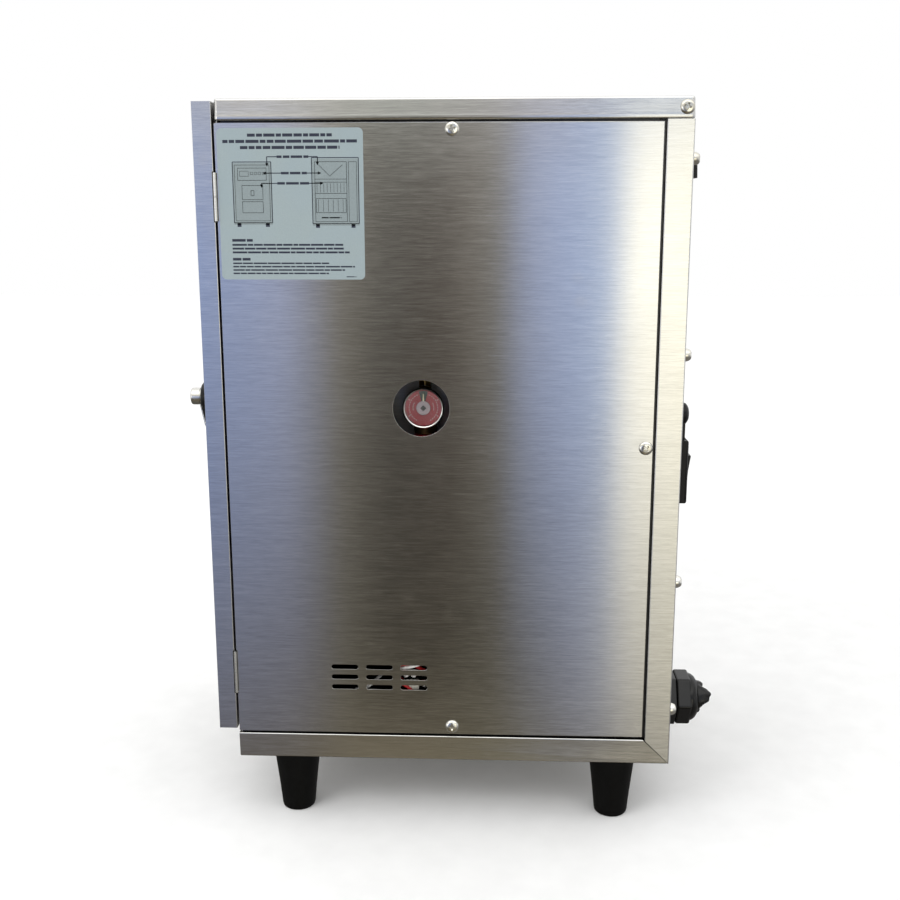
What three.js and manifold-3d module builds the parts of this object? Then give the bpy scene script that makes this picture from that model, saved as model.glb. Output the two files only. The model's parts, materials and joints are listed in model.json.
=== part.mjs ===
// Ventless countertop fryer: an enclosed stainless cabinet on four feet, with a hinged front door.
// Millimetres, +Z up, +X the door's hinge side, -Y the front. The origin is the centre of the
// footprint at the height of the feet's soles.
import * as THREE from 'three';
import { mergeVertices } from 'three/addons/utils/BufferGeometryUtils.js';
import Module from 'manifold-3d';

const wasm = await Module();
wasm.setup();

// ---------------------------------------------------------------- driving dimensions

// cabinet
const cabinetWidth = 381;
const cabinetDepth = 437;
const cabinetHeight = 648;
const sheet = 1.2; // thickness of every folded sheet
const fit = 0.4; // clearance between neighbouring pieces
const coverFlange = 19.5;
const baseFlange = 26;
const backFlange = 25;
const frontReturn = 12; // the side panel's bend round the front corner

// feet
const footHeight = 66;
const footTopRadius = 24;
const footSoleRadius = 17;
const footInset = { side: 27, end: 54.5 };

// front openings
const crossbarHeight = 30; // between the frying compartment and the service compartment
const compartmentLip = { left: 10, right: 6, top: 17 }; // the frame's edge inside the liner
const serviceOpening = { side: 23.7, rise: 31, height: 108 };

// frying compartment
const liner = { sideGap: 9.7, serviceBay: 89.7, rearBay: 153.6, floorRise: 196, topDrop: 12 };
const apron = { depth: 50, drop: 26 }; // the floor's slope towards the door
const pot = { sideMargin: 18, length: 196, depth: 112, flange: 8, offset: 15 };
const shelf = { thickness: 18, rise: 438, frontGap: 15 };
const shelfDuct = { width: 160, length: 60 };

// basket and its drive
const basket = { sideMargin: 32.5, length: 138, depth: 58, drop: 27, wall: 1.5 };
const basketShaft = { radius: 5, back: 77, rise: 219, ear: 14, overhang: 12 };
const basketMotor = { radius: 28, length: 58 };

// heating element
const element = { radius: 4, runs: 6, rise: 16, margin: 12, riserTop: 292 };

// drain valve
const drain = { x: 40, rise: 100, radius: 11, pipe: 22, body: 30, bodyRadius: 17 };
const drainHandle = { hub: 8, reach: 48, ring: 14, thickness: 4 };

// filters, latch and fire damper
const greaseFilter = { height: 66, thickness: 18, slats: 7, tilt: 0.62 };
const airFilter = { height: 93, thickness: 20, gap: 4, setback: 14 };
const latch = { length: 34, width: 12, thickness: 4, radius: 5 };
const damper = { width: 180, length: 80, height: 35, blade: 74, rod: 2.5, back: 105, drop: 58 };

// exhaust blower
const blower = { radius: 76, depth: 62, rise: 534, inlet: 46, gapBehindLiner: 6 };
const blowerWheel = { radius: 58, depth: 40, blades: 14 };
const blowerMotor = { radius: 38, length: 52 };

// fire suppression
const tank = { radius: 28, length: 190, inset: 60.5, y: -30, base: 138 };
const valve = { radius: 12, length: 48 };
const gauge = { radius: 20.6, depth: 13, rise: 358.4, inset: 30, dialGap: 3 };
const gaugeHole = { radius: 27.2, rise: 363 };
const pipeRadius = 4;

// vents low in the side panel
const vent = { length: 27, height: 5, pitchAlong: 34.8, pitchUp: 10.7, y: -74, rise: 88.2, count: 3 };

// door
const door = { thickness: 18, gap: 2, rise: 31, drop: 2.3, sideInset: 0.5 };
const hinge = { length: 44, barrel: 1.6, plate: 22, pin: 0.8, notchGap: 0.8, leafGap: 0.3 };
const hingeRise = { upper: 560.5, lower: 92 };
const gasketWidth = 7.5;
const control = { width: 280, height: 105, thickness: 1.4, rise: 478 };
const display = { width: 90, height: 40, x: -60, rise: 60 };
const key = { radius: 9, height: 6, stand: 2.4, x: 10, pitch: 32, count: 4 };
const lock = { inset: 40, rise: 73, radius: 8, bezel: 11, bezelDepth: 3 };
const lockCam = { length: 26, width: 12, thickness: 3 };

// load chute
const chute = { width: 192, height: 124, plate: 2.5, rise: 241 };
const bucket = { width: 168, radius: 98, start: 14, angle: Math.PI / 4, lip: 12, clearance: 4 };
const knob = { rise: 72.2, reach: 63, grip: 14.5, gripRadius: 9.6, hubRadius: 20, blade: 46 };

// dispensing flap
const flap = { width: 192, height: 92, plate: 2.5, rise: 229, overlap: 8 };

// back of the cabinet
const hood = { inset: 20.5, height: 22, reach: 9, rise: 577, slotMargin: { side: 15, end: 4 } };
const powerSwitch = { inset: 24.5, rise: 270, width: 30, height: 62, reach: 8 };
const resetButton = { radius: 10.5, rise: 86 };
const rocker = { width: 16, height: 30, pivot: 6 };
const gland = { inset: 59.5, rise: 47.5, flange: 29, flangeDepth: 5, thread: 14, bore: 15, wall: 4 };
const glandNut = { radius: 26, reach: 42 };
const glandSeal = { radius: 14, reach: 50, bore: 7 };

// ---------------------------------------------------------------- places worked out from them

const halfWidth = cabinetWidth / 2;
const frontY = -cabinetDepth / 2;
const backY = cabinetDepth / 2;
const baseZ = footHeight;
const topZ = baseZ + cabinetHeight;

const panelX = halfWidth - sheet - fit; // outer face of a side panel, tucked behind the flanges
const panelInnerX = panelX - sheet;
const frameY = frontY + sheet + fit; // front face of the front frame
const backInnerY = backY - sheet; // inner face of the back panel
const doorFrontY = frontY - door.gap - door.thickness;
const doorBackY = frontY - door.gap;
const doorHalfWidth = halfWidth - door.sideInset;
const doorHeight = cabinetHeight - door.rise - door.drop;
const doorBottomZ = baseZ + door.rise;
const hingeX = doorHalfWidth;
const hingeY = frontY - door.gap / 2;

const linerLeftX = -(panelInnerX - liner.sideGap);
const linerRightX = panelInnerX - liner.serviceBay;
const linerMiddleX = (linerLeftX + linerRightX) / 2;
const linerFrontY = frameY + sheet + fit;
const linerBackY = backInnerY - liner.rearBay;
const linerFloorZ = baseZ + liner.floorRise;
const linerTopZ = topZ - liner.topDrop;
const apronY = linerFrontY + apron.depth;
const apronFrontZ = linerFloorZ - apron.drop;
const potFrontY = apronY + pot.offset;
const potBackY = potFrontY + pot.length;
const potWidth = linerRightX - linerLeftX - 2 * pot.sideMargin;
const basketWidth = potWidth - 2 * basket.sideMargin;
const openingX = [linerLeftX + compartmentLip.left, linerRightX - compartmentLip.right];
const serviceTopZ = baseZ + serviceOpening.rise + serviceOpening.height;
const openingBottomZ = serviceTopZ + crossbarHeight;
const openingTopZ = linerTopZ - compartmentLip.top;
const shelfZ = baseZ + shelf.rise;
const shaftY = linerFrontY + basketShaft.back;
const shaftZ = baseZ + basketShaft.rise;
const blowerY = linerBackY + blower.gapBehindLiner;
const blowerZ = baseZ + blower.rise;
const gaugeX = halfWidth - gauge.inset;
const gaugeZ = baseZ + gauge.rise;
const tankX = halfWidth - tank.inset;
const tankBaseZ = baseZ + tank.base;
const tankTopZ = tankBaseZ + tank.length;

const chuteAxisY = -(chute.plate / 2 + fit); // in front of the door's face
const flapAxisY = -(flap.plate / 2 + fit);
const lockX = -(halfWidth - lock.inset);
const switchX = halfWidth - powerSwitch.inset;
const rockerZ = baseZ + powerSwitch.rise + powerSwitch.height / 2;
const glandX = halfWidth - gland.inset;
const hoodHalfWidth = halfWidth - hood.inset;

// how far the knob and the gland reach out in front of and behind the cabinet
const frontReach = -doorFrontY - chuteAxisY + chute.plate / 2 + knob.reach;
const backReach = backY + glandSeal.reach;

// ---------------------------------------------------------------- solids

function solid(geometry) {
  geometry.deleteAttribute('normal');
  geometry.deleteAttribute('uv');
  const merged = mergeVertices(geometry, 1e-4);
  return new wasm.Manifold(new wasm.Mesh({
    numProp: 3,
    vertProperties: new Float32Array(merged.attributes.position.array),
    triVerts: new Uint32Array(merged.index.array),
  }));
}

function geometryOf(manifold) {
  const mesh = manifold.getMesh();
  const geometry = new THREE.BufferGeometry();
  geometry.setAttribute('position', new THREE.BufferAttribute(mesh.vertProperties, 3));
  geometry.setIndex(new THREE.BufferAttribute(mesh.triVerts, 1));
  geometry.computeVertexNormals();
  return geometry;
}

function join(...solids) {
  return solids.reduce((sum, next) => sum.add(next));
}

function cut(body, ...tools) {
  return tools.reduce((left, tool) => left.subtract(tool), body);
}

function box([x0, x1], [y0, y1], [z0, z1]) {
  const geometry = new THREE.BoxGeometry(Math.abs(x1 - x0), Math.abs(y1 - y0), Math.abs(z1 - z0));
  geometry.translate((x0 + x1) / 2, (y0 + y1) / 2, (z0 + z1) / 2);
  return solid(geometry);
}

// An outline of [y, z] points swept along X.
function prismX(points, [x0, x1]) {
  const shape = new THREE.Shape(points.map(([y, z]) => new THREE.Vector2(y, z)));
  const geometry = new THREE.ExtrudeGeometry(shape, { depth: x1 - x0, bevelEnabled: false });
  geometry.applyMatrix4(new THREE.Matrix4().makeBasis(
    new THREE.Vector3(0, 1, 0), new THREE.Vector3(0, 0, 1), new THREE.Vector3(1, 0, 0)));
  geometry.translate(x0, 0, 0);
  return solid(geometry);
}

// An outline of [x, z] points swept along Y.
function prismY(points, [y0, y1]) {
  const shape = new THREE.Shape(points.map(([x, z]) => new THREE.Vector2(x, z)));
  const geometry = new THREE.ExtrudeGeometry(shape, { depth: y1 - y0, bevelEnabled: false });
  geometry.rotateX(Math.PI / 2);
  geometry.translate(0, y1, 0);
  return solid(geometry);
}

const axisTurns = {
  x: [0, 0, -Math.PI / 2],
  y: [0, 0, 0],
  z: [Math.PI / 2, 0, 0],
};

// A turned outline of [radius, distance] points about an axis through a centre.
function turned(axis, points, [x, y, z], segments = 24) {
  const profile = points.map(([radius, along]) => new THREE.Vector2(radius, along));
  const geometry = new THREE.LatheGeometry(profile, segments);
  const [rx, ry, rz] = axisTurns[axis];
  geometry.rotateX(rx).rotateY(ry).rotateZ(rz);
  geometry.translate(x, y, z);
  return solid(geometry);
}

function rod(axis, radius, [from, to], centre, segments = 20) {
  return turned(axis, [[0, from], [radius, from], [radius, to], [0, to]], centre, segments);
}

function tube(curve, radius, steps, sides = 8) {
  const section = new THREE.Shape();
  for (let i = 0; i < sides; i += 1) {
    const angle = (i / sides) * Math.PI * 2;
    const [x, y] = [radius * Math.cos(angle), radius * Math.sin(angle)];
    if (i === 0) section.moveTo(x, y);
    else section.lineTo(x, y);
  }
  section.closePath();
  return new THREE.ExtrudeGeometry(section, { steps, extrudePath: curve });
}

// ---------------------------------------------------------------- materials

const looks = {
  stainless: { color: 0xc9cacb, roughness: 0.34, metalness: 1 },
  galvanised: { color: 0xa9adb0, roughness: 0.5, metalness: 1 },
  aluminium: { color: 0xb9bcc0, roughness: 0.42, metalness: 1 },
  blackPlastic: { color: 0x17181a, roughness: 0.55, metalness: 0 },
  blackRubber: { color: 0x111214, roughness: 0.8, metalness: 0 },
  greyRubber: { color: 0x8f9296, roughness: 0.75, metalness: 0 },
  controlFilm: { color: 0x23262b, roughness: 0.4, metalness: 0 },
  displayGlass: { color: 0x0b0f12, roughness: 0.08, metalness: 0 },
  redPaint: { color: 0xa11d1a, roughness: 0.35, metalness: 0 },
  brass: { color: 0xb5924c, roughness: 0.35, metalness: 1 },
  dialPaint: { color: 0xb02a22, roughness: 0.5, metalness: 0 },
  needlePaint: { color: 0xf2e9c8, roughness: 0.5, metalness: 0 },
  handleRed: { color: 0xb32420, roughness: 0.5, metalness: 0 },
};

function piece(name, shape, look) {
  const geometry = shape instanceof THREE.BufferGeometry ? shape : geometryOf(shape);
  const mesh = new THREE.Mesh(geometry, new THREE.MeshStandardMaterial(looks[look]));
  mesh.name = name;
  return mesh;
}

function at(x, y, z, ...children) {
  const holder = new THREE.Group();
  holder.position.set(x, y, z);
  holder.add(...children);
  return holder;
}

// ---------------------------------------------------------------- cabinet shell

function makeBase() {
  const z = [baseZ, baseZ + baseFlange];
  const rearY = backInnerY - fit;
  const floor = box([-halfWidth, halfWidth], [frontY, rearY], [baseZ, baseZ + sheet]);
  const front = box([-halfWidth, halfWidth], [frontY, frontY + sheet], z);
  const mitreTop = backY - baseFlange - 2 * fit;
  const side = [[frontY, z[0]], [rearY, z[0]], [rearY, baseZ + sheet], [mitreTop, z[1]], [frontY, z[1]]];
  const right = prismX(side, [halfWidth - sheet, halfWidth]);
  const left = prismX(side, [-halfWidth, -halfWidth + sheet]);
  return piece('chassis_base', join(floor, front, right, left), 'stainless');
}

function makeBackPanel() {
  const top = topZ - coverFlange - fit;
  const inner = backY - backFlange;
  const side = [[inner, baseZ + backFlange + fit], [backY, baseZ + fit], [backY, top], [inner, top]];
  const walls = join(
    box([-halfWidth, halfWidth], [backInnerY, backY], [baseZ + fit, top]),
    prismX(side, [halfWidth - sheet, halfWidth]),
    prismX(side, [-halfWidth, -halfWidth + sheet]),
  );
  const through = [backInnerY - 1, backY + 1];
  const { side: slotSide, end: slotEnd } = hood.slotMargin;
  const exhaust = box([-hoodHalfWidth + slotSide, hoodHalfWidth - slotSide], through,
    [baseZ + hood.rise + slotEnd, baseZ + hood.rise + hood.height - slotEnd]);
  const cordHole = rod('y', gland.bore, through, [glandX, 0, baseZ + gland.rise]);
  return piece('back_panel', cut(walls, exhaust, cordHole), 'stainless');
}

function makeCover() {
  const outer = box([-halfWidth, halfWidth], [frontY, backY], [topZ - coverFlange, topZ]);
  const inner = box([-halfWidth + sheet, halfWidth - sheet], [frontY + sheet, backInnerY],
    [topZ - coverFlange - 1, topZ - sheet]);
  return piece('top_cover', cut(outer, inner), 'stainless');
}

function sidePanelShell(side) {
  const x = [side * panelInnerX, side * panelX];
  const flangeTop = baseZ + baseFlange + fit;
  const flangeBottom = topZ - coverFlange - fit;
  return join(
    box(x, [frameY, backInnerY - fit], [baseZ + sheet + fit, topZ - sheet - fit]),
    box(x, [frontY, frameY], [flangeTop, flangeBottom]),
    box([side * (panelX - frontReturn), side * panelX], [frontY, frontY + sheet],
      [flangeTop, flangeBottom]),
  );
}

const slotFacets = 4;

function slotOutline(y, z, length, height) {
  const half = (length - height) / 2;
  const points = [];
  for (const [end, start] of [[1, -Math.PI / 2], [-1, Math.PI / 2]]) {
    for (let i = 0; i <= slotFacets; i += 1) {
      const angle = start + (i / slotFacets) * Math.PI;
      points.push([y + end * half + (height / 2) * Math.cos(angle), z + (height / 2) * Math.sin(angle)]);
    }
  }
  return points;
}

// Room for a hinge barrel on the line between the door and the cabinet.
function hingeNotch(z) {
  const reach = hinge.barrel + hinge.notchGap;
  return box([hingeX - reach, halfWidth + reach], [hingeY - reach, hingeY + reach],
    [z - hinge.length / 2 - 1, z + hinge.length / 2 + 1]);
}

function makeRightPanel() {
  const x = [panelInnerX - 1, panelX + 1];
  const vents = [];
  const middle = (vent.count - 1) / 2;
  for (let column = 0; column < vent.count; column += 1) {
    for (let row = 0; row < vent.count; row += 1) {
      const y = vent.y + (column - middle) * vent.pitchAlong;
      const z = baseZ + vent.rise + (row - middle) * vent.pitchUp;
      vents.push(prismX(slotOutline(y, z, vent.length, vent.height), x));
    }
  }
  const sight = rod('x', gaugeHole.radius, x, [0, tank.y, baseZ + gaugeHole.rise], 40);
  const shell = cut(sidePanelShell(1), sight, ...vents,
    hingeNotch(baseZ + hingeRise.upper), hingeNotch(baseZ + hingeRise.lower));
  return piece('side_panel_right', shell, 'stainless');
}

function makeFrontFrame() {
  const x = panelInnerX - fit;
  const through = [frameY - 1, frameY + sheet + 1];
  const plate = box([-x, x], [frameY, frameY + sheet], [baseZ + sheet + fit, topZ - sheet - fit]);
  const upper = box(openingX, through, [openingBottomZ, openingTopZ]);
  const serviceX = panelInnerX - serviceOpening.side;
  const lower = box([-serviceX, serviceX], through, [baseZ + serviceOpening.rise, serviceTopZ]);
  return piece('front_frame', cut(plate, upper, lower), 'stainless');
}

function makeFoot(name, x, y) {
  const neck = footHeight - fit;
  const profile = [[0, 0], [footSoleRadius, 0], [footSoleRadius + 1, 4], [footTopRadius, neck - 8],
    [footTopRadius, neck], [0, neck]];
  const foot = piece(name, turned('z', profile, [0, 0, 0], 24), 'blackRubber');
  foot.position.set(x, y, 0);
  return foot;
}

function makeFeet() {
  const x = halfWidth - footInset.side;
  const y = backY - footInset.end;
  return [
    makeFoot('foot_front_right', x, -y),
    makeFoot('foot_front_left', -x, -y),
    makeFoot('foot_rear_right', x, y),
    makeFoot('foot_rear_left', -x, y),
  ];
}

// ---------------------------------------------------------------- frying compartment

function makeLiner() {
  const x = [linerLeftX, linerRightX];
  const y = [linerFrontY, linerBackY];
  const floor = prismX([[y[0], apronFrontZ], [apronY, linerFloorZ], [y[1], linerFloorZ],
    [y[1], linerFloorZ + sheet], [apronY, linerFloorZ + sheet], [y[0], apronFrontZ + sheet]], x);
  const wall = [[y[0], apronFrontZ], [apronY, linerFloorZ], [y[1], linerFloorZ], [y[1], linerTopZ],
    [y[0], linerTopZ]];
  const walls = join(
    prismX(wall, [x[0], x[0] + sheet]),
    prismX(wall, [x[1] - sheet, x[1]]),
    box(x, [y[1] - sheet, y[1]], [linerFloorZ, linerTopZ]),
    box(x, y, [linerTopZ - sheet, linerTopZ]),
    floor,
  );
  const potHalf = potWidth / 2 + fit;
  const potHole = box([linerMiddleX - potHalf, linerMiddleX + potHalf], [potFrontY - fit, potBackY + fit],
    [linerFloorZ - 1, linerFloorZ + sheet + 1]);
  const inlet = rod('y', blower.inlet, [linerBackY - sheet - 1, linerBackY + 1],
    [linerMiddleX, 0, blowerZ]);
  const shaftHole = rod('x', basketShaft.radius + 1, [linerRightX - sheet - 1, linerRightX + 1],
    [0, shaftY, shaftZ]);
  return piece('cavity_liner', cut(walls, potHole, inlet, shaftHole), 'stainless');
}

function makeShelf() {
  const slab = box([linerLeftX + sheet + fit, linerRightX - sheet - fit],
    [linerFrontY + shelf.frontGap, linerBackY - sheet - fit], [shelfZ, shelfZ + shelf.thickness]);
  const ductBack = linerBackY - sheet - 20;
  const duct = box([linerMiddleX - shelfDuct.width / 2, linerMiddleX + shelfDuct.width / 2],
    [ductBack - shelfDuct.length, ductBack], [shelfZ - 1, shelfZ + shelf.thickness + 1]);
  return piece('divider_shelf', cut(slab, duct), 'stainless');
}

function makePot() {
  const top = linerFloorZ + sheet + fit;
  const x = [linerMiddleX - potWidth / 2, linerMiddleX + potWidth / 2];
  const y = [potFrontY, potBackY];
  const outer = join(
    box(x, y, [top - pot.depth, top + sheet]),
    box([x[0] - pot.flange, x[1] + pot.flange], [y[0] - pot.flange, y[1] + pot.flange], [top, top + sheet]),
  );
  const inner = box([x[0] + sheet, x[1] - sheet], [y[0] + sheet, y[1] - sheet],
    [top - pot.depth + sheet, top + sheet + 1]);
  const port = rod('y', drain.radius - 3, [y[0] - 1, y[0] + sheet + 1], [drain.x, 0, baseZ + drain.rise]);
  return piece('fry_pot', cut(outer, inner, port), 'stainless');
}

// One tube: down the back of the pot, to and fro over its floor, and up again.
function makeElement() {
  const z = linerFloorZ + sheet + fit - pot.depth + element.rise;
  const inset = sheet + element.margin;
  const span = potWidth - 2 * inset;
  const pitch = span / (element.runs - 1);
  const left = linerMiddleX - span / 2;
  const back = potBackY - inset;
  const front = potFrontY + inset;
  const bend = pitch / 2;
  const path = new THREE.CurvePath();
  let here = new THREE.Vector3(left, back, element.riserTop);
  const lineTo = (x, y, height) => {
    const next = new THREE.Vector3(x, y, height);
    path.add(new THREE.LineCurve3(here, next));
    here = next;
  };
  const bendTo = (x, y, height, corner) => {
    const next = new THREE.Vector3(x, y, height);
    path.add(new THREE.QuadraticBezierCurve3(here, corner, next));
    here = next;
  };
  lineTo(left, back, z + bend);
  bendTo(left, back - bend, z, new THREE.Vector3(left, back, z));
  for (let run = 0; run < element.runs - 1; run += 1) {
    const x = left + run * pitch;
    const inward = run % 2 === 0 ? -1 : 1;
    const endY = run % 2 === 0 ? front + bend : back - bend;
    lineTo(x, endY, z);
    const tip = endY + inward * bend;
    bendTo(x + bend, tip, z, new THREE.Vector3(x, tip, z));
    bendTo(x + pitch, endY, z, new THREE.Vector3(x + pitch, tip, z));
  }
  const right = left + span;
  lineTo(right, back - bend, z);
  bendTo(right, back, z + bend, new THREE.Vector3(right, back, z));
  lineTo(right, back, element.riserTop);
  return piece('heating_element', tube(path, element.radius, 78, 6), 'stainless');
}

// Built about the shaft's axis, with the open top level.
function makeBasket() {
  const x = [-basketWidth / 2, basketWidth / 2];
  const y = [basketShaft.ear, basketShaft.ear + basket.length];
  const z = [-basket.drop - basket.depth, -basket.drop];
  const tub = cut(
    box(x, y, z),
    box([x[0] + basket.wall, x[1] - basket.wall], [y[0] + basket.wall, y[1] - basket.wall],
      [z[0] + basket.wall, z[1] + 1]),
  );
  const earOutline = [[-7, -7], [7, -7], [y[0] + 20, z[1] - 20], [y[0] + 20, z[1]], [7, 7], [-7, 7]];
  const ears = [-1, 1].map((side) => prismX(earOutline, side > 0
    ? [x[1] - basket.wall, x[1] + 1.5] : [x[0] - 1.5, x[0] + basket.wall]));
  const bore = rod('x', basketShaft.radius + fit, [x[0] - 5, x[1] + 5], [0, 0, 0]);
  return piece('fry_basket', cut(join(tub, ...ears), bore), 'stainless');
}

function makeShaft() {
  const reach = [-basketWidth / 2 - basketShaft.overhang, linerRightX - linerMiddleX + fit];
  return piece('basket_shaft', rod('x', basketShaft.radius, reach, [0, 0, 0], 16), 'stainless');
}

function makeBasketMotor() {
  const from = linerRightX + 2 * fit;
  const body = rod('x', basketMotor.radius, [from, from + basketMotor.length], [0, shaftY, shaftZ]);
  const foot = box([from, from + 8], [shaftY - 34, shaftY + 34], [shaftZ - 34, shaftZ + 34]);
  return piece('basket_motor', join(body, foot), 'galvanised');
}

function makeDrainValve() {
  const z = baseZ + drain.rise;
  const pipeEnd = potFrontY - fit;
  const bodyBack = pipeEnd - drain.pipe;
  const bodyFront = bodyBack - drain.body;
  const bodyMiddle = (bodyBack + bodyFront) / 2;
  const centre = [drain.x, 0, z];
  const outer = join(
    rod('y', drain.radius, [bodyBack - 1, pipeEnd], centre, 20),
    rod('y', drain.bodyRadius, [bodyFront, bodyBack], centre, 8),
    rod('z', drain.radius, [-50, 0], [drain.x, bodyMiddle, z], 20),
  );
  const bore = join(
    rod('y', drain.radius - 3, [bodyMiddle, pipeEnd + 1], centre, 16),
    rod('z', drain.radius - 3, [-51, 0], [drain.x, bodyMiddle, z], 16),
  );
  return piece('drain_valve_body', cut(outer, bore), 'brass');
}

// Built about the stem's axis: a hub, an arm and a finger ring, pointing across when shut.
function makeDrainHandle() {
  const back = -fit;
  const front = back - drainHandle.thickness;
  const ringX = drainHandle.reach - drainHandle.ring;
  const solids = join(
    rod('y', drainHandle.hub, [front - 3, back], [0, 0, 0], 16),
    box([0, ringX - drainHandle.ring + 4], [front, back], [-4, 4]),
    rod('y', drainHandle.ring, [front, back], [ringX, 0, 0], 24),
  );
  const finger = rod('y', drainHandle.ring - 4, [front - 1, back + 1], [ringX, 0, 0], 24);
  return piece('drain_valve_handle', cut(solids, finger), 'handleRed');
}

// ---------------------------------------------------------------- filters, latch and damper

// A framed row of baffle slats, leaning back from the compartment's mouth.
function makeGreaseFilter() {
  const halfLength = (linerRightX - linerLeftX) / 2 - sheet - 2;
  const y = [0, greaseFilter.thickness];
  const frame = cut(
    box([-halfLength, halfLength], y, [0, greaseFilter.height]),
    box([-halfLength + 6, halfLength - 6], [y[0] - 1, y[1] + 1], [6, greaseFilter.height - 6]),
  );
  const pitch = (2 * halfLength - 12) / greaseFilter.slats;
  const slats = [];
  for (let i = 0; i < greaseFilter.slats; i += 1) {
    const x = -halfLength + 6 + (i + 0.5) * pitch;
    slats.push(box([x - pitch * 0.32, x + pitch * 0.32], [3, 6], [5, greaseFilter.height - 5]));
  }
  const filter = piece('grease_filter', join(frame, ...slats), 'stainless');
  filter.position.set(linerMiddleX, linerFrontY + 8, shelfZ - fit - 56);
  filter.rotation.x = -greaseFilter.tilt;
  return filter;
}

function makeAirFilter(name, from, to) {
  const z = shelfZ + shelf.thickness + fit;
  const y = [0, airFilter.thickness];
  const slab = cut(
    box([from, to], y, [z, z + airFilter.height]),
    box([from + 9, to - 9], [-1, 5], [z + 9, z + airFilter.height - 9]),
  );
  const filter = piece(name, slab, 'aluminium');
  filter.position.y = linerFrontY + airFilter.setback;
  return filter;
}

// Built about its pivot: a bar that holds both air filters until it is turned upright.
function makeLatch() {
  const half = latch.length / 2;
  const bar = box([-half, half], [-latch.thickness, 0], [-latch.width / 2, latch.width / 2]);
  const hub = rod('y', latch.radius, [-latch.thickness - 4, 0], [0, 0, 0], 16);
  return piece('filter_latch', join(bar, hub), 'stainless');
}

function damperAxis() {
  return { y: linerFrontY + damper.back, z: linerTopZ - damper.drop };
}

function makeDamperFrame() {
  const { y, z } = damperAxis();
  const half = damper.width / 2;
  const back = y + 4;
  const outer = box([linerMiddleX - half, linerMiddleX + half], [back - damper.length, back],
    [z - damper.height / 2, z + damper.height / 2]);
  const inner = box([linerMiddleX - half + sheet, linerMiddleX + half - sheet],
    [back - damper.length + sheet, back - sheet], [z - damper.height, z + damper.height]);
  return piece('fire_damper_frame', cut(outer, inner), 'galvanised');
}

// Built about its rod, hanging open.
function makeDamperBlade() {
  const half = damper.width / 2 - sheet - 1;
  const rodPiece = rod('x', damper.rod, [-half, half], [0, 0, 0], 12);
  const blade = box([-half + 2, half - 2], [-0.8, 0.8], [-damper.blade, 0]);
  return piece('fire_damper_blade', join(rodPiece, blade), 'galvanised');
}

// ---------------------------------------------------------------- exhaust blower

// Built about the wheel's axis: a drum with a round inlet, a shaft hole and an outlet on top.
function makeBlowerHousing() {
  const wall = 1.5;
  const y = [0, blower.depth];
  const drum = rod('y', blower.radius, y, [0, 0, 0], 32);
  const mouth = { width: 70, height: 50 };
  const outlet = box([-mouth.width / 2, mouth.width / 2], y, [blower.radius - 30, blower.radius + 12]);
  const hollow = join(
    rod('y', blower.radius - wall, [wall, blower.depth - wall], [0, 0, 0], 32),
    box([-mouth.width / 2 + wall, mouth.width / 2 - wall], [wall, blower.depth - wall],
      [blower.radius - mouth.height, blower.radius + 13]),
  );
  const inlet = rod('y', blower.inlet, [-1, wall + 1], [0, 0, 0], 28);
  const shaftHole = rod('y', 7, [blower.depth - wall - 1, blower.depth + 1], [0, 0, 0], 16);
  return piece('blower_housing', cut(join(drum, outlet), hollow, inlet, shaftHole), 'galvanised');
}

// A backplate, a rim and straight blades between them.
function makeBlowerWheel() {
  const front = 8;
  const back = front + blowerWheel.depth;
  const plate = rod('y', blowerWheel.radius, [back - 2, back], [0, 0, 0], 28);
  const rim = cut(
    rod('y', blowerWheel.radius, [front, front + 3], [0, 0, 0], 28),
    rod('y', blowerWheel.radius - 13, [front - 1, front + 4], [0, 0, 0], 28),
  );
  const hub = rod('y', 5, [back - 16, blower.depth + 4], [0, 0, 0], 12);
  const blades = [];
  for (let i = 0; i < blowerWheel.blades; i += 1) {
    const geometry = new THREE.BoxGeometry(11, back - front - 2, 1.6);
    geometry.translate(blowerWheel.radius - 6.5, (front + back) / 2, 0);
    geometry.rotateY((i / blowerWheel.blades) * Math.PI * 2);
    blades.push(solid(geometry));
  }
  return piece('blower_wheel', join(plate, rim, hub, ...blades), 'aluminium');
}

function makeBlowerMotor() {
  const from = blower.depth + fit;
  const can = rod('y', blowerMotor.radius, [from + 5, from + 5 + blowerMotor.length], [0, 0, 0], 28);
  const mount = box([-44, 44], [from, from + 5], [-44, 44]);
  const socket = rod('y', 6, [from - 1, from + 8], [0, 0, 0], 12);
  return piece('blower_motor', cut(join(can, mount), socket), 'galvanised');
}

// ---------------------------------------------------------------- fire suppression

function makeTank() {
  const r = tank.radius;
  const profile = [[0, 0], [r * 0.6, 1], [r * 0.9, 6], [r, 14], [r, tank.length - 16],
    [r * 0.88, tank.length - 7], [r * 0.6, tank.length - 2], [0, tank.length]];
  return piece('suppression_cylinder', turned('z', profile, [tankX, tank.y, tankBaseZ], 24), 'redPaint');
}

function makeValve() {
  const z = tankTopZ + fit;
  const stem = rod('z', valve.radius, [0, valve.length], [tankX, tank.y, z], 16);
  const boss = rod('x', 6, [tankX, gaugeX - gauge.depth - fit], [0, tank.y, gaugeZ], 12);
  return piece('suppression_valve', join(stem, boss), 'brass');
}

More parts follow.
